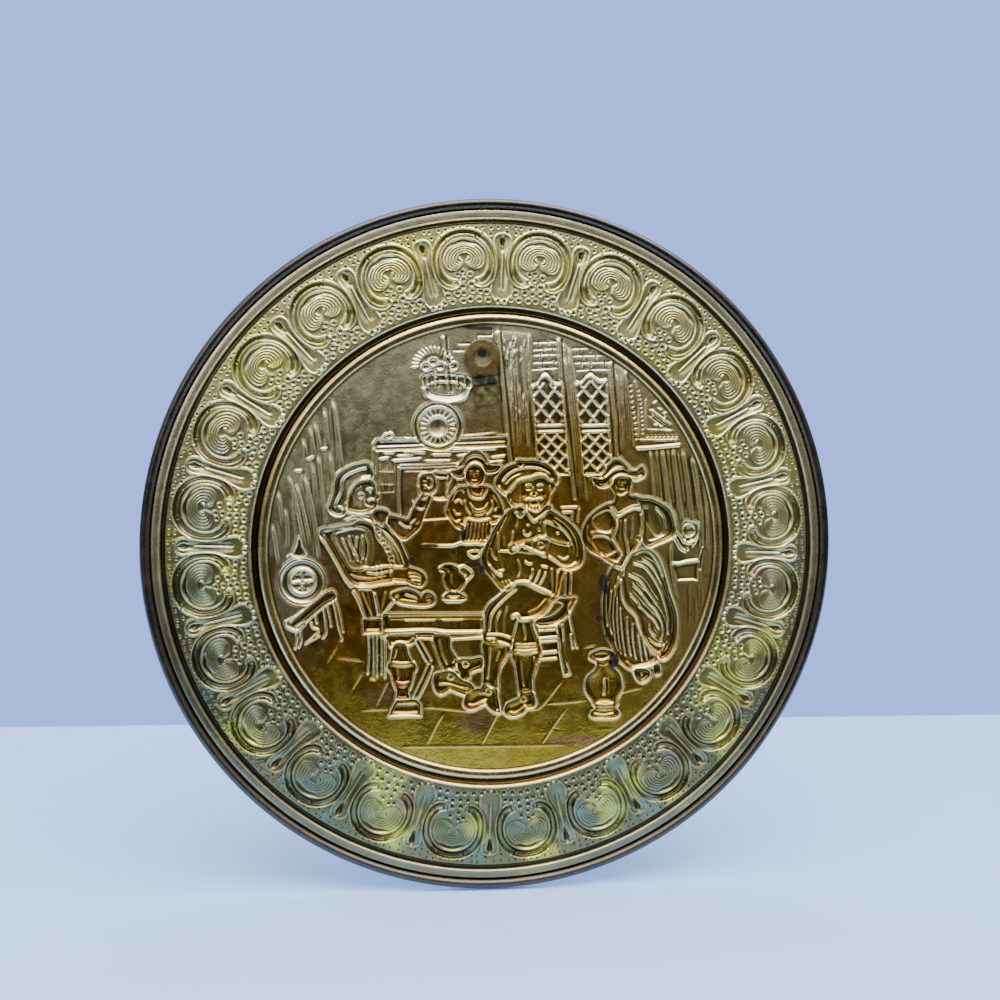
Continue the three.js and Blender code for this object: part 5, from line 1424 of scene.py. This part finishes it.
def brass(name, settings):
    """Old pressed brass: pale metal under olive tarnish, greener or bluer on the border, with painted
    highlights and painted shade placed by position on the plate.
    """
    mat = bpy.data.materials.new(name)
    tree, shader, place, tarnish = brass_nodes(mat)
    radius, up, side, local = [place[k] for k in ("Radius", "Up", "Side", "Local")]
    broad, fine, speck = [tarnish[k] for k in ("Broad", "Fine", "Speck")]
    times = lambda a, b: maths(tree, "MULTIPLY", a, b)

    well = blended(tree, broad, (*settings.well_colour, 1), (0.58, 0.25, 0.02, 1))
    # painted shade: the well darker and more olive towards the bottom
    well = blended(tree, times(span(tree, up, -0.03, -0.085), 0.8), well, (0.53, 0.32, 0.025, 1))
    # painted highlight: the well paler towards the upper left
    diagonal = maths(tree, "SUBTRACT", up, side)
    well = blended(tree, times(span(tree, diagonal, 0.03, 0.115), 0.9), well, (0.96, 0.92, 0.52, 1))
    # painted highlight: the well paler at its right side
    painted_sheen_right = times(span(tree, side, 0.035, 0.095), span(tree, up, -0.09, 0.02))
    well = blended(tree, times(painted_sheen_right, 0.8), well, (0.94, 0.84, 0.34, 1))
    # painted highlight: the well paler over its top
    well = blended(tree, times(span(tree, up, 0.045, 0.085), 0.85), well, (1.0, 0.95, 0.60, 1))
    # painted highlight: a pale band at the well's upper-left edge
    painted_sheen_upper_left = times(span(tree, radius, 0.070, 0.096), span(tree, diagonal, 0.02, 0.10))
    well = blended(tree, times(painted_sheen_upper_left, 0.9), well, (1.0, 0.94, 0.56, 1))
    copper = spots(tree, local, COPPER_SPOTS)
    well = blended(tree, times(copper, 0.55), well, (0.50, 0.18, 0.09, 1))

    ground = blended(tree, fine, (*settings.border_colour, 1), (0.56, 0.50, 0.20, 1))
    # painted shade: the border darker towards the bottom
    ground = blended(tree, times(span(tree, up, 0.06, -0.10), 0.92), ground, (0.20, 0.145, 0.055, 1))
    leftlow = span(tree, maths(tree, "MULTIPLY_ADD", side, -0.6, times(up, -1.0)), -0.03, 0.11)
    green = times(leftlow, maths(tree, "MULTIPLY_ADD", broad, 0.55, 0.25))
    ground = blended(tree, green, ground, (*settings.verdigris, 1))
    blue = times(noise(tree, local, 60, 4, 0.6, 0.48, 0.66), 0.4)
    ground = blended(tree, blue, ground, (0.20, 0.30, 0.27, 1))
    gold = times(noise(tree, local, 33, 3, 0.5, 0.53, 0.64), 0.6)
    ground = blended(tree, gold, ground, (0.80, 0.76, 0.14, 1))
    rose = times(noise(tree, local, 47, 4, 0.6, 0.57, 0.68), 0.5)
    ground = blended(tree, rose, ground, (0.48, 0.26, 0.17, 1))
    band = blended(tree, broad, (0.58, 0.54, 0.40, 1), (0.42, 0.38, 0.29, 1))
    # painted shade: the plain band darker towards the bottom
    band = blended(tree, times(span(tree, up, 0.06, -0.10), 0.9), band, (0.19, 0.155, 0.105, 1))
    ground = blended(tree, times(span(tree, radius, 0.1405, 0.1425), 0.8), ground, band)
    ground = blended(tree, span(tree, radius, 0.1480, 0.1488), ground, (*settings.roll_colour, 1))
    ring = blended(tree, broad, (0.66, 0.47, 0.15, 1), (0.36, 0.20, 0.05, 1))
    ring = blended(tree, span(tree, radius, 0.1028, 0.1038), ring, (0.20, 0.10, 0.03, 1))
    ground = blended(tree, span(tree, radius, 0.1078, 0.1062), ground, ring)

    colour = blended(tree, span(tree, radius, 0.0975, 0.0990), well, ground)
    colour = blended(tree, times(fine, 0.25), colour, (0.17, 0.12, 0.04, 1))
    colour = blended(tree, times(speck, 0.4), colour, (0.10, 0.08, 0.04, 1))
    wear_dirt_light = node(tree, "ShaderNodeAttribute", attribute_name="wear_dirt_light").outputs["Fac"]
    # creases near-black: grime together with painted shade
    colour = blended(tree, times(span(tree, wear_dirt_light, -0.15, -0.95), 0.8), colour, (0.035, 0.028, 0.01, 1))
    # ridges pale cream: wear together with painted highlight, less of it low on the inner moulding and none
    # on the rolled edge
    worn = times(span(tree, wear_dirt_light, 0.15, 0.9), 0.6)
    kept = times(span(tree, radius, 0.104, 0.110), span(tree, up, 0.03, -0.08))
    worn = times(worn, maths(tree, "MULTIPLY_ADD", kept, -0.75, 1.0))
    worn = times(worn, span(tree, radius, 0.1496, 0.1440))
    colour = blended(tree, worn, colour, (0.95, 0.87, 0.46, 1))
    # near-black spots: dark patches among the figures, and a painted shadow of the tab behind its hole
    dark = spots(tree, local, DARK_AND_SHADOW_SPOTS)
    colour = blended(tree, times(dark, 0.95), colour, (0.010, 0.010, 0.016, 1))
    tree.links.new(colour, shader.inputs["Base Color"])

    rough = maths(tree, "MULTIPLY_ADD", fine, 0.10, 0.17)
    rough = maths(tree, "MULTIPLY_ADD", broad, 0.05, rough)
    rough = maths(tree, "MULTIPLY_ADD", span(tree, radius, 0.0975, 0.11), 0.07, rough)
    tree.links.new(maths(tree, "MAXIMUM", rough, times(dark, 0.6)), shader.inputs["Roughness"])
    bump = node(tree, "ShaderNodeBump", Strength=0.2, Distance=0.0002)
    tree.links.new(maths(tree, "MULTIPLY_ADD", tarnish["Height"], 0.5, fine), bump.inputs["Height"])
    tree.links.new(bump.outputs["Normal"], shader.inputs["Normal"])


def tab_brass(name, base, shade, stain):
    """Dull strap brass, mottled between two colours, with smears of solder in a third and painted shade where
    the strap bends down.
    """
    mat = bpy.data.materials.new(name)
    tree, shader, place, tarnish = brass_nodes(mat)
    colour = blended(tree, tarnish["Broad"], (*base, 1), (*shade, 1))
    colour = blended(tree, maths(tree, "MULTIPLY", tarnish["Fine"], 0.5), colour, (*shade, 1))
    smear = spots(tree, place["Local"], SOLDER_SPOTS)
    colour = blended(tree, maths(tree, "MULTIPLY", smear, 0.75), colour, (*stain, 1))
    # painted shade on the strap's downward bend
    bend_shade = spots(tree, place["Local"], BEND_SHADE_SPOTS)
    colour = blended(tree, maths(tree, "MULTIPLY", bend_shade, 0.9), colour, (0.035, 0.028, 0.012, 1))
    colour = blended(tree, maths(tree, "MULTIPLY", tarnish["Speck"], 0.6), colour, (0.08, 0.05, 0.02, 1))
    tree.links.new(colour, shader.inputs["Base Color"])
    rough = maths(tree, "MULTIPLY_ADD", tarnish["Fine"], 0.15, 0.36)
    tree.links.new(maths(tree, "MULTIPLY_ADD", smear, -0.12, rough), shader.inputs["Roughness"])
    bump = node(tree, "ShaderNodeBump", Strength=0.35, Distance=0.0003)
    tree.links.new(tarnish["Fine"], bump.inputs["Height"])
    tree.links.new(bump.outputs["Normal"], shader.inputs["Normal"])


def plain(name, colour, roughness):
    mat = bpy.data.materials.new(name)
    mat.use_nodes = True
    shader = next(n for n in mat.node_tree.nodes if n.type == "BSDF_PRINCIPLED")
    shader.inputs["Base Color"].default_value = (*colour, 1)
    shader.inputs["Roughness"].default_value = roughness
    return mat


# ---- pieces ----
FINISHES = {"brass_sheet": "Old pressed brass", "brass_tab": "Tab brass"}


def ready(obj, node_name, slot):
    obj.data.materials.clear()
    obj.data.materials.append(bpy.data.materials[FINISHES[slot]])
    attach(obj, "root")
    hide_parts(node_name)


def sector_mesh(r, name, columns, rows, drop, ratio, facing):
    a = np.linspace(-SECTOR / 2, SECTOR / 2, columns)
    away = np.linspace(RIM_IN, RIM_OUT, rows)
    s, t = np.outer(away, np.sin(a)), np.outer(away, np.cos(a))
    h = r.at(r.h, s, t) - drop
    pts = np.stack([s, -h, t], -1).reshape(-1, 3) * MM
    obj = mesh_of(name, pts, grid_faces(rows, columns), flip=facing > 0)
    if ratio < 1:
        pin = np.zeros((rows, columns), bool)
        pin[:, :2] = pin[:, -2:] = True
        pin[:1] = pin[-1:] = True
        decimated(obj, ratio, pin.ravel())
    return obj


def repeat_group(sources, material):
    """Geometry Nodes: copies of the source sectors in turn around the plate's axis."""
    tree = bpy.data.node_groups.new("Border repeat", "GeometryNodeTree")
    face = tree.interface
    for label, kind, value in (("Geometry", "NodeSocketGeometry", None), ("Count", "NodeSocketInt", SECTORS),
                               ("Start angle", "NodeSocketFloat", 0.0), ("Merge distance",
                                   "NodeSocketFloat", 0.00002)):
        socket = face.new_socket(label, in_out="INPUT", socket_type=kind)
        if value is not None:
            socket.default_value = value
    face.new_socket("Geometry", in_out="OUTPUT", socket_type="NodeSocketGeometry")
    start, end = tree.nodes.new("NodeGroupInput"), tree.nodes.new("NodeGroupOutput")
    link = tree.links.new
    points = node(tree, "GeometryNodePoints")
    link(start.outputs["Count"], points.inputs["Count"])
    parts = tree.nodes.new("GeometryNodeGeometryToInstance")
    for source in reversed(sources):
        info = node(tree, "GeometryNodeObjectInfo")
        info.inputs["Object"].default_value = source
        link(info.outputs["Geometry"], parts.inputs[0])
    index = node(tree, "GeometryNodeInputIndex")
    turn = maths(tree, "MULTIPLY_ADD", index.outputs[0], SECTOR, 0.0)
    link(start.outputs["Start angle"], turn.node.inputs[2])
    angles = node(tree, "ShaderNodeCombineXYZ")
    link(turn, angles.inputs["Y"])
    place = node(tree, "GeometryNodeInstanceOnPoints")
    place.inputs["Pick Instance"].default_value = True
    link(points.outputs[0], place.inputs["Points"])
    link(parts.outputs[0], place.inputs["Instance"])
    link(index.outputs[0], place.inputs["Instance Index"])
    link(angles.outputs[0], place.inputs["Rotation"])
    real = node(tree, "GeometryNodeRealizeInstances")
    link(place.outputs[0], real.inputs[0])
    merge = node(tree, "GeometryNodeMergeByDistance")
    link(real.outputs[0], merge.inputs["Geometry"])
    link(start.outputs["Merge distance"], merge.inputs["Distance"])
    paint = node(tree, "GeometryNodeSetMaterial")
    paint.inputs["Material"].default_value = material
    link(merge.outputs[0], paint.inputs[0])
    link(paint.outputs[0], end.inputs[0])
    return tree


def set_input(modifier, label, value):
    items = modifier.node_group.interface.items_tree
    socket = next(s for s in items if s.name == label and s.in_out == "INPUT")
    modifier[socket.identifier] = value


def build_border(settings):
    """The border in two halves, each made of sectors in turn from two slightly different ones."""
    reliefs = [draw_sector(settings.seed + k) for k in range(2)]
    fields = [(*r.slopes(), sector_wear_dirt_light) for r, sector_wear_dirt_light in reliefs]
    sources = []
    for k, (r, _) in enumerate(reliefs):
        back = sector_mesh(r, f"sector_{k}", *BACK_GRID, 0, settings.border_detail, -1)
        soft = r.copy()
        soft.blur(BORDER_SOFT)
        front = sector_mesh(soft, f"sector_front_{k}", *FRONT_GRID, SHEET, 1, 1)
        sources.append(join([back, front], f"sector_{k}"))
    repeats = repeat_group(sources, bpy.data.materials[FINISHES["brass_sheet"]])
    half = SECTORS // 2
    for name, start in (("ornament_rim_right", 0), ("ornament_rim_left", half)):
        rim = bpy.data.objects.new(name, bpy.data.meshes.new(name))
        bpy.context.scene.collection.objects.link(rim)
        repeat = rim.modifiers.new("repeat", "NODES")
        repeat.node_group = repeats
        set_input(repeat, "Count", half)
        first = math.radians(ROLL) + (start + 0.5) * SECTOR
        set_input(repeat, "Start angle", first)
        modified(rim)
        shape_sectors(rim, fields, first)
        ready(rim, "pressed_sheet", "brass_sheet")
    for source in sources:
        bpy.data.objects.remove(source)


def shape_sectors(rim, fields, first):
    """Puts the repeated sectors on the plate and gives them their normals and their field of wear, grime,
    painted highlight and painted shade.
    """
    co = coords(rim.data) / MM
    u, v = co[:, 0], co[:, 2]
    k = np.floor((np.arctan2(u, v) - first) / SECTOR + 0.5)
    turn = k * SECTOR + first
    s, t = u * np.cos(turn) - v * np.sin(turn), u * np.sin(turn) + v * np.cos(turn)
    su, sv, wear_dirt_light = np.zeros((3, len(u)))
    grid = sector_patch()
    for variant, field in enumerate(fields):
        pick = (k % SECTORS) % len(fields) == variant
        sx, sy, wear_dirt_light_field = [grid.at(values, s, t) for values in field]
        su = np.where(pick, sx * np.cos(turn) + sy * np.sin(turn), su)
        sv = np.where(pick, -sx * np.sin(turn) + sy * np.cos(turn), sv)
        wear_dirt_light = np.where(pick, wear_dirt_light_field, wear_dirt_light)
    rim.data.vertices.foreach_set("co", placed(u, v, -co[:, 1]).astype(np.float32).ravel())
    rim.data.update()
    set_wear_dirt_light(rim, wear_dirt_light * set_normals(rim, su, sv))


def build_rings():
    """The moulding between scene and border, and the groove, plain band and rolled edge outside it."""
    inner = rounded(
        ((97.6, -1.75), (98.4, -1.6), (98.9, -1.55), (99.5, -0.6), (101.4, -0.3), (102.3, -0.45), (102.5,
            -0.75),
         (102.9, -0.85), (103.6, -1.7), (104.4, -2.2), (105.2, -1.9), (106.2, -0.5), (107.0, 0.0), (108.0,
             -0.1)),
    )
    outer = rounded(
        ((141.0, -0.12), (141.6, 0.0), (142.1, -1.0), (142.6, -1.7), (143.5, -1.6), (144.1, -0.3), (144.6,
            0.34),
         (146.3, 0.42), (147.7, 0.3), (148.1, -0.6), (148.6, -1.3), (149.2, -1.2)),
    )
    sweep = np.radians(np.linspace(205, -125, 30))
    roll = [(BEAD_AT + BEAD_R * math.cos(t), BEAD_UP + BEAD_R * math.sin(t)) for t in sweep]
    for name, near, bead in (("inner_moulding", inner, []), ("rolled_border", outer, roll)):
        back = near[::-8] if not bead else near[-3::-8]
        profile = near + bead + [(r + 0.2, h - SHEET) for r, h in back]
        obj = lathe(name, profile)
        level = np.array([h for _, h in near])
        reach, full = 6, 0.22  # points averaged on each side, and the height that counts in full for wear with painted highlight and for grime with painted shade
        soft = np.convolve(np.pad(level, reach, mode="edge"), np.ones(2 * reach + 1) / (2 * reach + 1),
            "valid")
        # the rings' ridges towards wear with painted highlight, their grooves towards grime with painted
        # shade
        wear_dirt_light = np.zeros(len(profile))
        wear_dirt_light[:len(near)] = np.clip((level - soft) / full, -1, 1)
        set_wear_dirt_light(obj, np.repeat(wear_dirt_light, RING_SIDES))
        ready(obj, "pressed_sheet", "brass_sheet")


def build_scene_panel(settings):
    """The tavern scene in two halves, fine on the wall side and softer on the front."""
    step = PANEL_STEP
    r = Relief(-100, -100, 100, 100, step, WELL_H)
    draw_scene(r)
    gx, gy = np.meshgrid(r.x0 + np.arange(r.nx) * step, r.y0 + np.arange(r.ny) * step)
    r.h = WELL_H + (r.h - WELL_H) * smooth((WELL_R - 0.2 - np.hypot(gx, gy)) / 1.2)
    r.blur(SHARP)
    soft = r.copy()
    soft.blur(SCENE_SOFT)
    slopes, wear_dirt_light_field = r.slopes(), r.wear_dirt_light_field()
    cx, cz = middle()
    for side, label in ((-1, "left"), (1, "right")):
        back, seam = disc_layer(r, WELL_R, step, 0, "scene_back", -1, side)
        share = settings.panel_faces / 2 / (2 * len(back.data.polygons))
        decimated(back, min(1.0, share), seam)
        front, _ = disc_layer(soft, WELL_R, FRONT_STEP, SHEET, "scene_front", 1, side)
        panel = join([back, front], f"scene_panel_{label}")
        co = coords(panel.data) / MM
        u, v = co[:, 0] - cx, co[:, 2] - cz
        co[:, 1] = np.where(co[:, 1] > FRONT_Y, FRONT_Y + (co[:, 1] - FRONT_Y) * FLATTEN, co[:, 1])
        panel.data.vertices.foreach_set("co", (co * MM).astype(np.float32).ravel())
        panel.data.update()
        facing = set_normals(panel, r.at(slopes[0], u, v), r.at(slopes[1], u, v))
        set_wear_dirt_light(panel, r.at(wear_dirt_light_field, u, v) * facing)
        ready(panel, "pressed_sheet", "brass_sheet")


def tab_outline():
    """The disc and strap's edge about the hole, from the strap's askew end round the disc and back."""
    join_at = math.asin(TAB_HALF / TAB_RADIUS)
    n = 18
    end = [(-TAB_HALF + 2 * TAB_HALF * k / n, -TAB_LENGTH - 0.7 + 1.4 * k / n) for k in range(n + 1)]
    down = np.linspace(-TAB_LENGTH + 0.7, -TAB_RADIUS * math.cos(join_at) - 0.3, 24)[1:]
    sweep = np.linspace(join_at - math.pi / 2, 1.5 * math.pi - join_at, 84)
    disc = [(TAB_RADIUS * math.cos(t), TAB_RADIUS * math.sin(t)) for t in sweep]
    return np.array(end + [(TAB_HALF, y) for y in down] + disc + [(-TAB_HALF, y) for y in down[::-1]])


def sides_of(points, line, by):
    """Which points lie inside a closed line, and which outside, by more than a distance."""
    d = np.full(len(points), 1e9)
    inside = np.zeros(len(points), bool)
    for a, b in zip(line, np.roll(line, -1, 0)):
        e = b - a
        p = points - a
        t = np.clip(p @ e / max(e @ e, 1e-9), 0, 1)
        d = np.minimum(d, np.hypot(*(p - t[:, None] * e).T))
        crossed = p[:, 0] < e[0] * p[:, 1] / (e[1] if e[1] else 1e-9)
        inside ^= ((a[1] > points[:, 1]) != (b[1] > points[:, 1])) & crossed
    return inside & (d > by), ~inside & (d > by)


def tab_faces():
    """Points of the tab's flat shape, and its triangles with the hole left open."""
    rim = tab_outline()
    turn = np.linspace(0, 2 * math.pi, 60, endpoint=False)
    ring = np.array([(TAB_HOLE * math.cos(t), TAB_HOLE * math.sin(t)) for t in turn])
    xs, ys = np.meshgrid(
        np.arange(-TAB_RADIUS, TAB_RADIUS, TAB_MESH), np.arange(-TAB_LENGTH - 1, TAB_RADIUS, TAB_MESH)
    )
    inner = np.stack([xs.ravel() + (ys.ravel() / TAB_MESH % 2) * 0.01, ys.ravel()], 1)
    clear = 0.35
    inner = inner[sides_of(inner, rim, clear)[0] & sides_of(inner, ring, clear)[1]]
    points = np.vstack([rim, ring, inner])
    loops = [list(range(len(rim))), list(range(len(rim), len(rim) + len(ring)))[::-1]]
    got = delaunay_2d_cdt([Vector(p) for p in points], [], loops, 2, 1e-6)
    flat = np.array([v[:] for v in got[0]])
    tris = np.array([f for f in got[2] if len(f) == 3])
    return flat, tris[np.hypot(*flat[tris].mean(1).T) > TAB_HOLE - 0.02]


def tab_rise(x, y):
    """Height of the tab's wall-side face over the rim's: flat disc, step down, uneven strap."""
    bend = smooth((-8.0 - y) / 4.0)
    face = FACE_Y - (WELL_H + TAB_GAP + TAB_THICK + FACE_Y) * bend
    lump = 0.12 * np.sin(x * 1.1 + 1) * np.sin(y * 0.9)
    rise = np.where(bend > 0.02, face + lump * 0.7, FACE_Y - 0.02)
    worn = np.abs(np.hypot(x, y) - TAB_HOLE)
    return rise - 0.16 * np.exp(-(worn / 0.3) ** 2)


def build_tab():
    """The soldered tab: a disc with a nail hole, a strap stepping down to the sheet, two spots of solder."""
    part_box("hanging_tab")  # stops here where the frame has no such node
    flat, tris = tab_faces()
    u, v = flat.T
    c, s = math.cos(TAB_LEAN), math.sin(TAB_LEAN)
    x, z = u * c - v * s, u * s + v * c - MOUNT_TO_HOLE
    near = np.stack([x, FACE_Y - tab_rise(u, v), z], 1)
    far = near + (0, TAB_THICK, 0)
    edges = dict.fromkeys(e for a, b, c3 in tris for e in ((a, b), (b, c3), (c3, a)))
    outer = [e for e in edges if (e[1], e[0]) not in edges]
    count = len(near)
    faces = [tuple(t) for t in tris] + [tuple(t[::-1] + count) for t in tris]
    faces += [(b, a, a + count, b + count) for a, b in outer]
    a, b, c3 = flat[tris[0]]
    if np.cross(b - a, c3 - a) <= 0:
        faces = [f[::-1] for f in faces]
    mesh = bpy.data.meshes.new("hanging_tab_metal")
    points = [tuple(p) for p in np.vstack([near, far]) * MM]
    mesh.from_pydata(points, [], [tuple(int(i) for i in f) for f in faces])
    mesh.update()
    tab = bpy.data.objects.new("tab_metal", mesh)
    bpy.context.scene.collection.objects.link(tab)
    bevel = tab.modifiers.new("bevel", "BEVEL")
    bevel.width, bevel.segments, bevel.limit_method, bevel.angle_limit = 0.00018, 2, "ANGLE", 0.9
    modified(tab)
    tab.data.shade_smooth()
    ready(tab, "hanging_tab", "brass_tab")
    solder_blob("solder_upper", -5.4, 73.4, 3.0, 2.3, 0.5, 3)
    solder_blob("solder_lower", -4.4, 67.0, 3.2, 2.2, 0.45, 5)


def solder_blob(name, u, v, rx, rz, rise, seed):
    """A low, uneven drop of solder on the strap."""
    rng = np.random.default_rng(seed)
    rows, sides = 14, 48
    t = np.linspace(0, 1, rows)
    a = np.linspace(0, 2 * math.pi, sides, endpoint=False)
    edge = 1 + 0.13 * np.sin(2 * a + rng.uniform(0, 6)) + 0.09 * np.sin(3 * a + rng.uniform(0, 6))
    edge = edge + 0.05 * np.sin(5 * a)
    reach = np.outer(t, edge)
    x, z = u + rx * reach * np.cos(a), v + rz * reach * np.sin(a)
    h = rise * (1 - t[:, None] ** 2.2) + 0.08 * np.sin(x * 2) * np.cos(z * 2.3) - 0.12
    obj = mesh_of(name, placed(x, z, WELL_H + TAB_GAP + TAB_THICK + h), grid_faces(rows, sides, True),
        flip=True)
    obj.data.materials.append(bpy.data.materials["Solder"])
    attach(obj, "root")


# ---- stage ----
def look_from_plate():
    """The camera's matrix: square on to a plate that leans back a little and is turned slightly away."""
    tilt, pan, roll = [math.radians(angle) for angle in (CAMERA_TILT, CAMERA_PAN, CAMERA_ROLL)]
    turn = Matrix.Rotation(pan, 3, "Y") @ Matrix.Rotation(tilt, 3, "X")
    across, down, away = turn.col[0], turn.col[1], turn.col[2]
    side = across * math.cos(roll) + down * math.sin(roll)
    up = across * math.sin(roll) - down * math.cos(roll)
    into = Matrix((side, away, up))
    cx, cz = middle()
    eye = Vector((cx, FACE_Y, cz)) - into @ Vector(CAMERA_FROM_MIDDLE)
    axes = Matrix([into @ Vector(v) for v in ((1, 0, 0), (0, -1, 0), (0, 0, -1))]).transposed()
    return Matrix.Translation(eye * MM) @ axes.to_4x4()


def area(name, where, target, size, power, colour, size_y):
    light = bpy.data.lights.new(name, "AREA")
    light.shape, light.size, light.size_y = "RECTANGLE", size, size_y
    light.energy, light.color = power, colour
    obj = bpy.data.objects.new(name, light)
    obj.location = where
    obj.rotation_euler = (Vector(target) - Vector(where)).to_track_quat("-Z", "Y").to_euler()
    bpy.context.scene.collection.objects.link(obj)


def build_stage(settings):
    """The camera, a pale cloth for a floor, soft lights and the room around."""
    scene = bpy.context.scene
    ground = middle()[1] * MM - CLOTH_DROP
    camera = bpy.data.cameras.new("camera")
    camera.lens, camera.sensor_width, camera.clip_start = 36, 36, 0.01
    obj = bpy.data.objects.new("camera", camera)
    scene.collection.objects.link(obj)
    obj.matrix_world = look_from_plate()
    scene.camera = obj

    corners = ((-1, CLOTH_NEAR), (1, CLOTH_NEAR), (1, CLOTH_FAR), (-1, CLOTH_FAR))
    floor = mesh_of("floor", [(x * CLOTH_HALF, y, ground) for x, y in corners], [(0, 1, 2, 3)])
    floor.data.materials.append(plain("floor_cloth", CLOTH, 0.95))

    area("above", (0.1, -0.45, 0.95), (0, 0, -0.1), 1.5, settings.light_above, (1.0, 0.98, 0.95), 0.9)
    area("behind", (0.0, 0.25, 0.9), (0, 0.4, -0.2), 1.2, 4, (0.9, 0.95, 1.0), 0.3)
    area("left", (-0.75, -1.3, 0.42), (0, 0, -0.1), 0.55, settings.light_side, (0.95, 0.98, 1.0), 0.45)
    world = bpy.data.worlds.new("room")
    world.use_nodes = True
    scene.world = world
    tree = world.node_tree
    back = next(n for n in tree.nodes if n.type == "BACKGROUND")
    at = node(tree, "ShaderNodeTexCoord")
    parts = node(tree, "ShaderNodeSeparateXYZ")
    tree.links.new(at.outputs["Generated"], parts.inputs[0])
    aside = span(tree, maths(tree, "ABSOLUTE", parts.outputs["X"]), 0.06, 0.45)
    low = blended(tree, aside, ROOM_AHEAD, ROOM_ASIDE)
    sky = blended(tree, span(tree, parts.outputs["Z"], 0.0, 0.6), low, ROOM_ABOVE)
    behind = span(tree, parts.outputs["Y"], 0.15, 0.5)
    sky = blended(tree, behind, sky, ROOM_BEHIND)
    tree.links.new(sky, back.inputs["Color"])
    back.inputs["Strength"].default_value = settings.room


# ---- add-on ----
class PlaqueSettings(bpy.types.PropertyGroup):
    """Sizes and amounts that drive the plaque and its stage."""

    seed: bpy.props.IntProperty(name="Seed", description="Starts the small irregularities", default=7)
    panel_faces: bpy.props.IntProperty(
        name="Scene triangles", description="Triangles kept for the scene's wall side", default=340000
    )
    border_detail: bpy.props.FloatProperty(
        name="Border detail", description="Share of each border sector's grid that is kept", default=0.165,
        min=0.01, max=1.0, subtype="FACTOR",
    )
    well_colour: bpy.props.FloatVectorProperty(
        name="Scene brass", description="Lighter metal of the scene", default=(0.80, 0.52, 0.09),
            subtype="COLOR"
    )
    border_colour: bpy.props.FloatVectorProperty(
        name="Border brass", description="Lighter metal of the border", default=(0.84, 0.78, 0.34),
            subtype="COLOR"
    )
    verdigris: bpy.props.FloatVectorProperty(
        name="Verdigris", description="Green tarnish low on the border", default=(0.13, 0.165, 0.09),
            subtype="COLOR"
    )
    roll_colour: bpy.props.FloatVectorProperty(
        name="Rolled edge", description="Dark tarnish of the rolled edge", default=(0.085, 0.078, 0.075),
            subtype="COLOR"
    )
    light_above: bpy.props.FloatProperty(
        name="Top light", description="Power of the soft light above", default=30, unit="POWER"
    )
    light_side: bpy.props.FloatProperty(
        name="Left light", description="Power of the light at the left", default=3.0, unit="POWER"
    )
    room: bpy.props.FloatProperty(name="Room light", description="Strength of the even light", default=0.55)


class PLAQUE_OT_materials(bpy.types.Operator):
    """Make the brass, tab and solder finishes"""

    bl_idname = "plaque.materials"
    bl_label = "Finishes"

    def execute(self, context):
        place_group()
        patina_group()
        brass(FINISHES["brass_sheet"], context.scene.plaque)
        tab_brass(FINISHES["brass_tab"], (0.25, 0.20, 0.08), (0.15, 0.11, 0.045), (0.52, 0.50, 0.20))
        tab_brass("Solder", (0.66, 0.64, 0.30), (0.52, 0.52, 0.34), (0.72, 0.70, 0.30))
        return {"FINISHED"}


class PLAQUE_OT_border(bpy.types.Operator):
    """Build the border of medallions and stems"""

    bl_idname = "plaque.border"
    bl_label = "Border"

    def execute(self, context):
        build_border(context.scene.plaque)
        return {"FINISHED"}


class PLAQUE_OT_rings(bpy.types.Operator):
    """Build the turned mouldings and the rolled edge"""

    bl_idname = "plaque.rings"
    bl_label = "Rings and rolled edge"

    def execute(self, context):
        build_rings()
        return {"FINISHED"}


class PLAQUE_OT_panel(bpy.types.Operator):
    """Build the tavern scene in the well"""

    bl_idname = "plaque.panel"
    bl_label = "Scene"

    def execute(self, context):
        build_scene_panel(context.scene.plaque)
        return {"FINISHED"}


class PLAQUE_OT_tab(bpy.types.Operator):
    """Build the soldered hanging tab"""

    bl_idname = "plaque.tab"
    bl_label = "Hanging tab"

    def execute(self, context):
        build_tab()
        return {"FINISHED"}


class PLAQUE_OT_stage(bpy.types.Operator):
    """Place the camera, floor, room and lights"""

    bl_idname = "plaque.stage"
    bl_label = "Stage"

    def execute(self, context):
        build_stage(context.scene.plaque)
        return {"FINISHED"}


class PLAQUE_PT_panel(bpy.types.Panel):
    """The plaque's settings and steps"""

    bl_label = "Plaque"
    bl_idname = "PLAQUE_PT_panel"
    bl_space_type = "VIEW_3D"
    bl_region_type = "UI"
    bl_category = "Plaque"

    def draw(self, context):
        settings = context.scene.plaque
        for name in settings.__annotations__:
            self.layout.prop(settings, name)
        for step in STEPS:
            self.layout.operator(step.bl_idname)


STEPS = (PLAQUE_OT_materials, PLAQUE_OT_border, PLAQUE_OT_rings, PLAQUE_OT_panel, PLAQUE_OT_tab,
    PLAQUE_OT_stage)
CLASSES = (PlaqueSettings, *STEPS, PLAQUE_PT_panel)


def register():
    for cls in CLASSES:
        bpy.utils.register_class(cls)
    bpy.types.Scene.plaque = bpy.props.PointerProperty(type=PlaqueSettings)


def unregister():
    del bpy.types.Scene.plaque
    for cls in reversed(CLASSES):
        bpy.utils.unregister_class(cls)


def main():
    register()
    for step in STEPS:
        family, name = step.bl_idname.split(".")
        getattr(getattr(bpy.ops, family), name)()


if __name__ == "__main__":
    main()
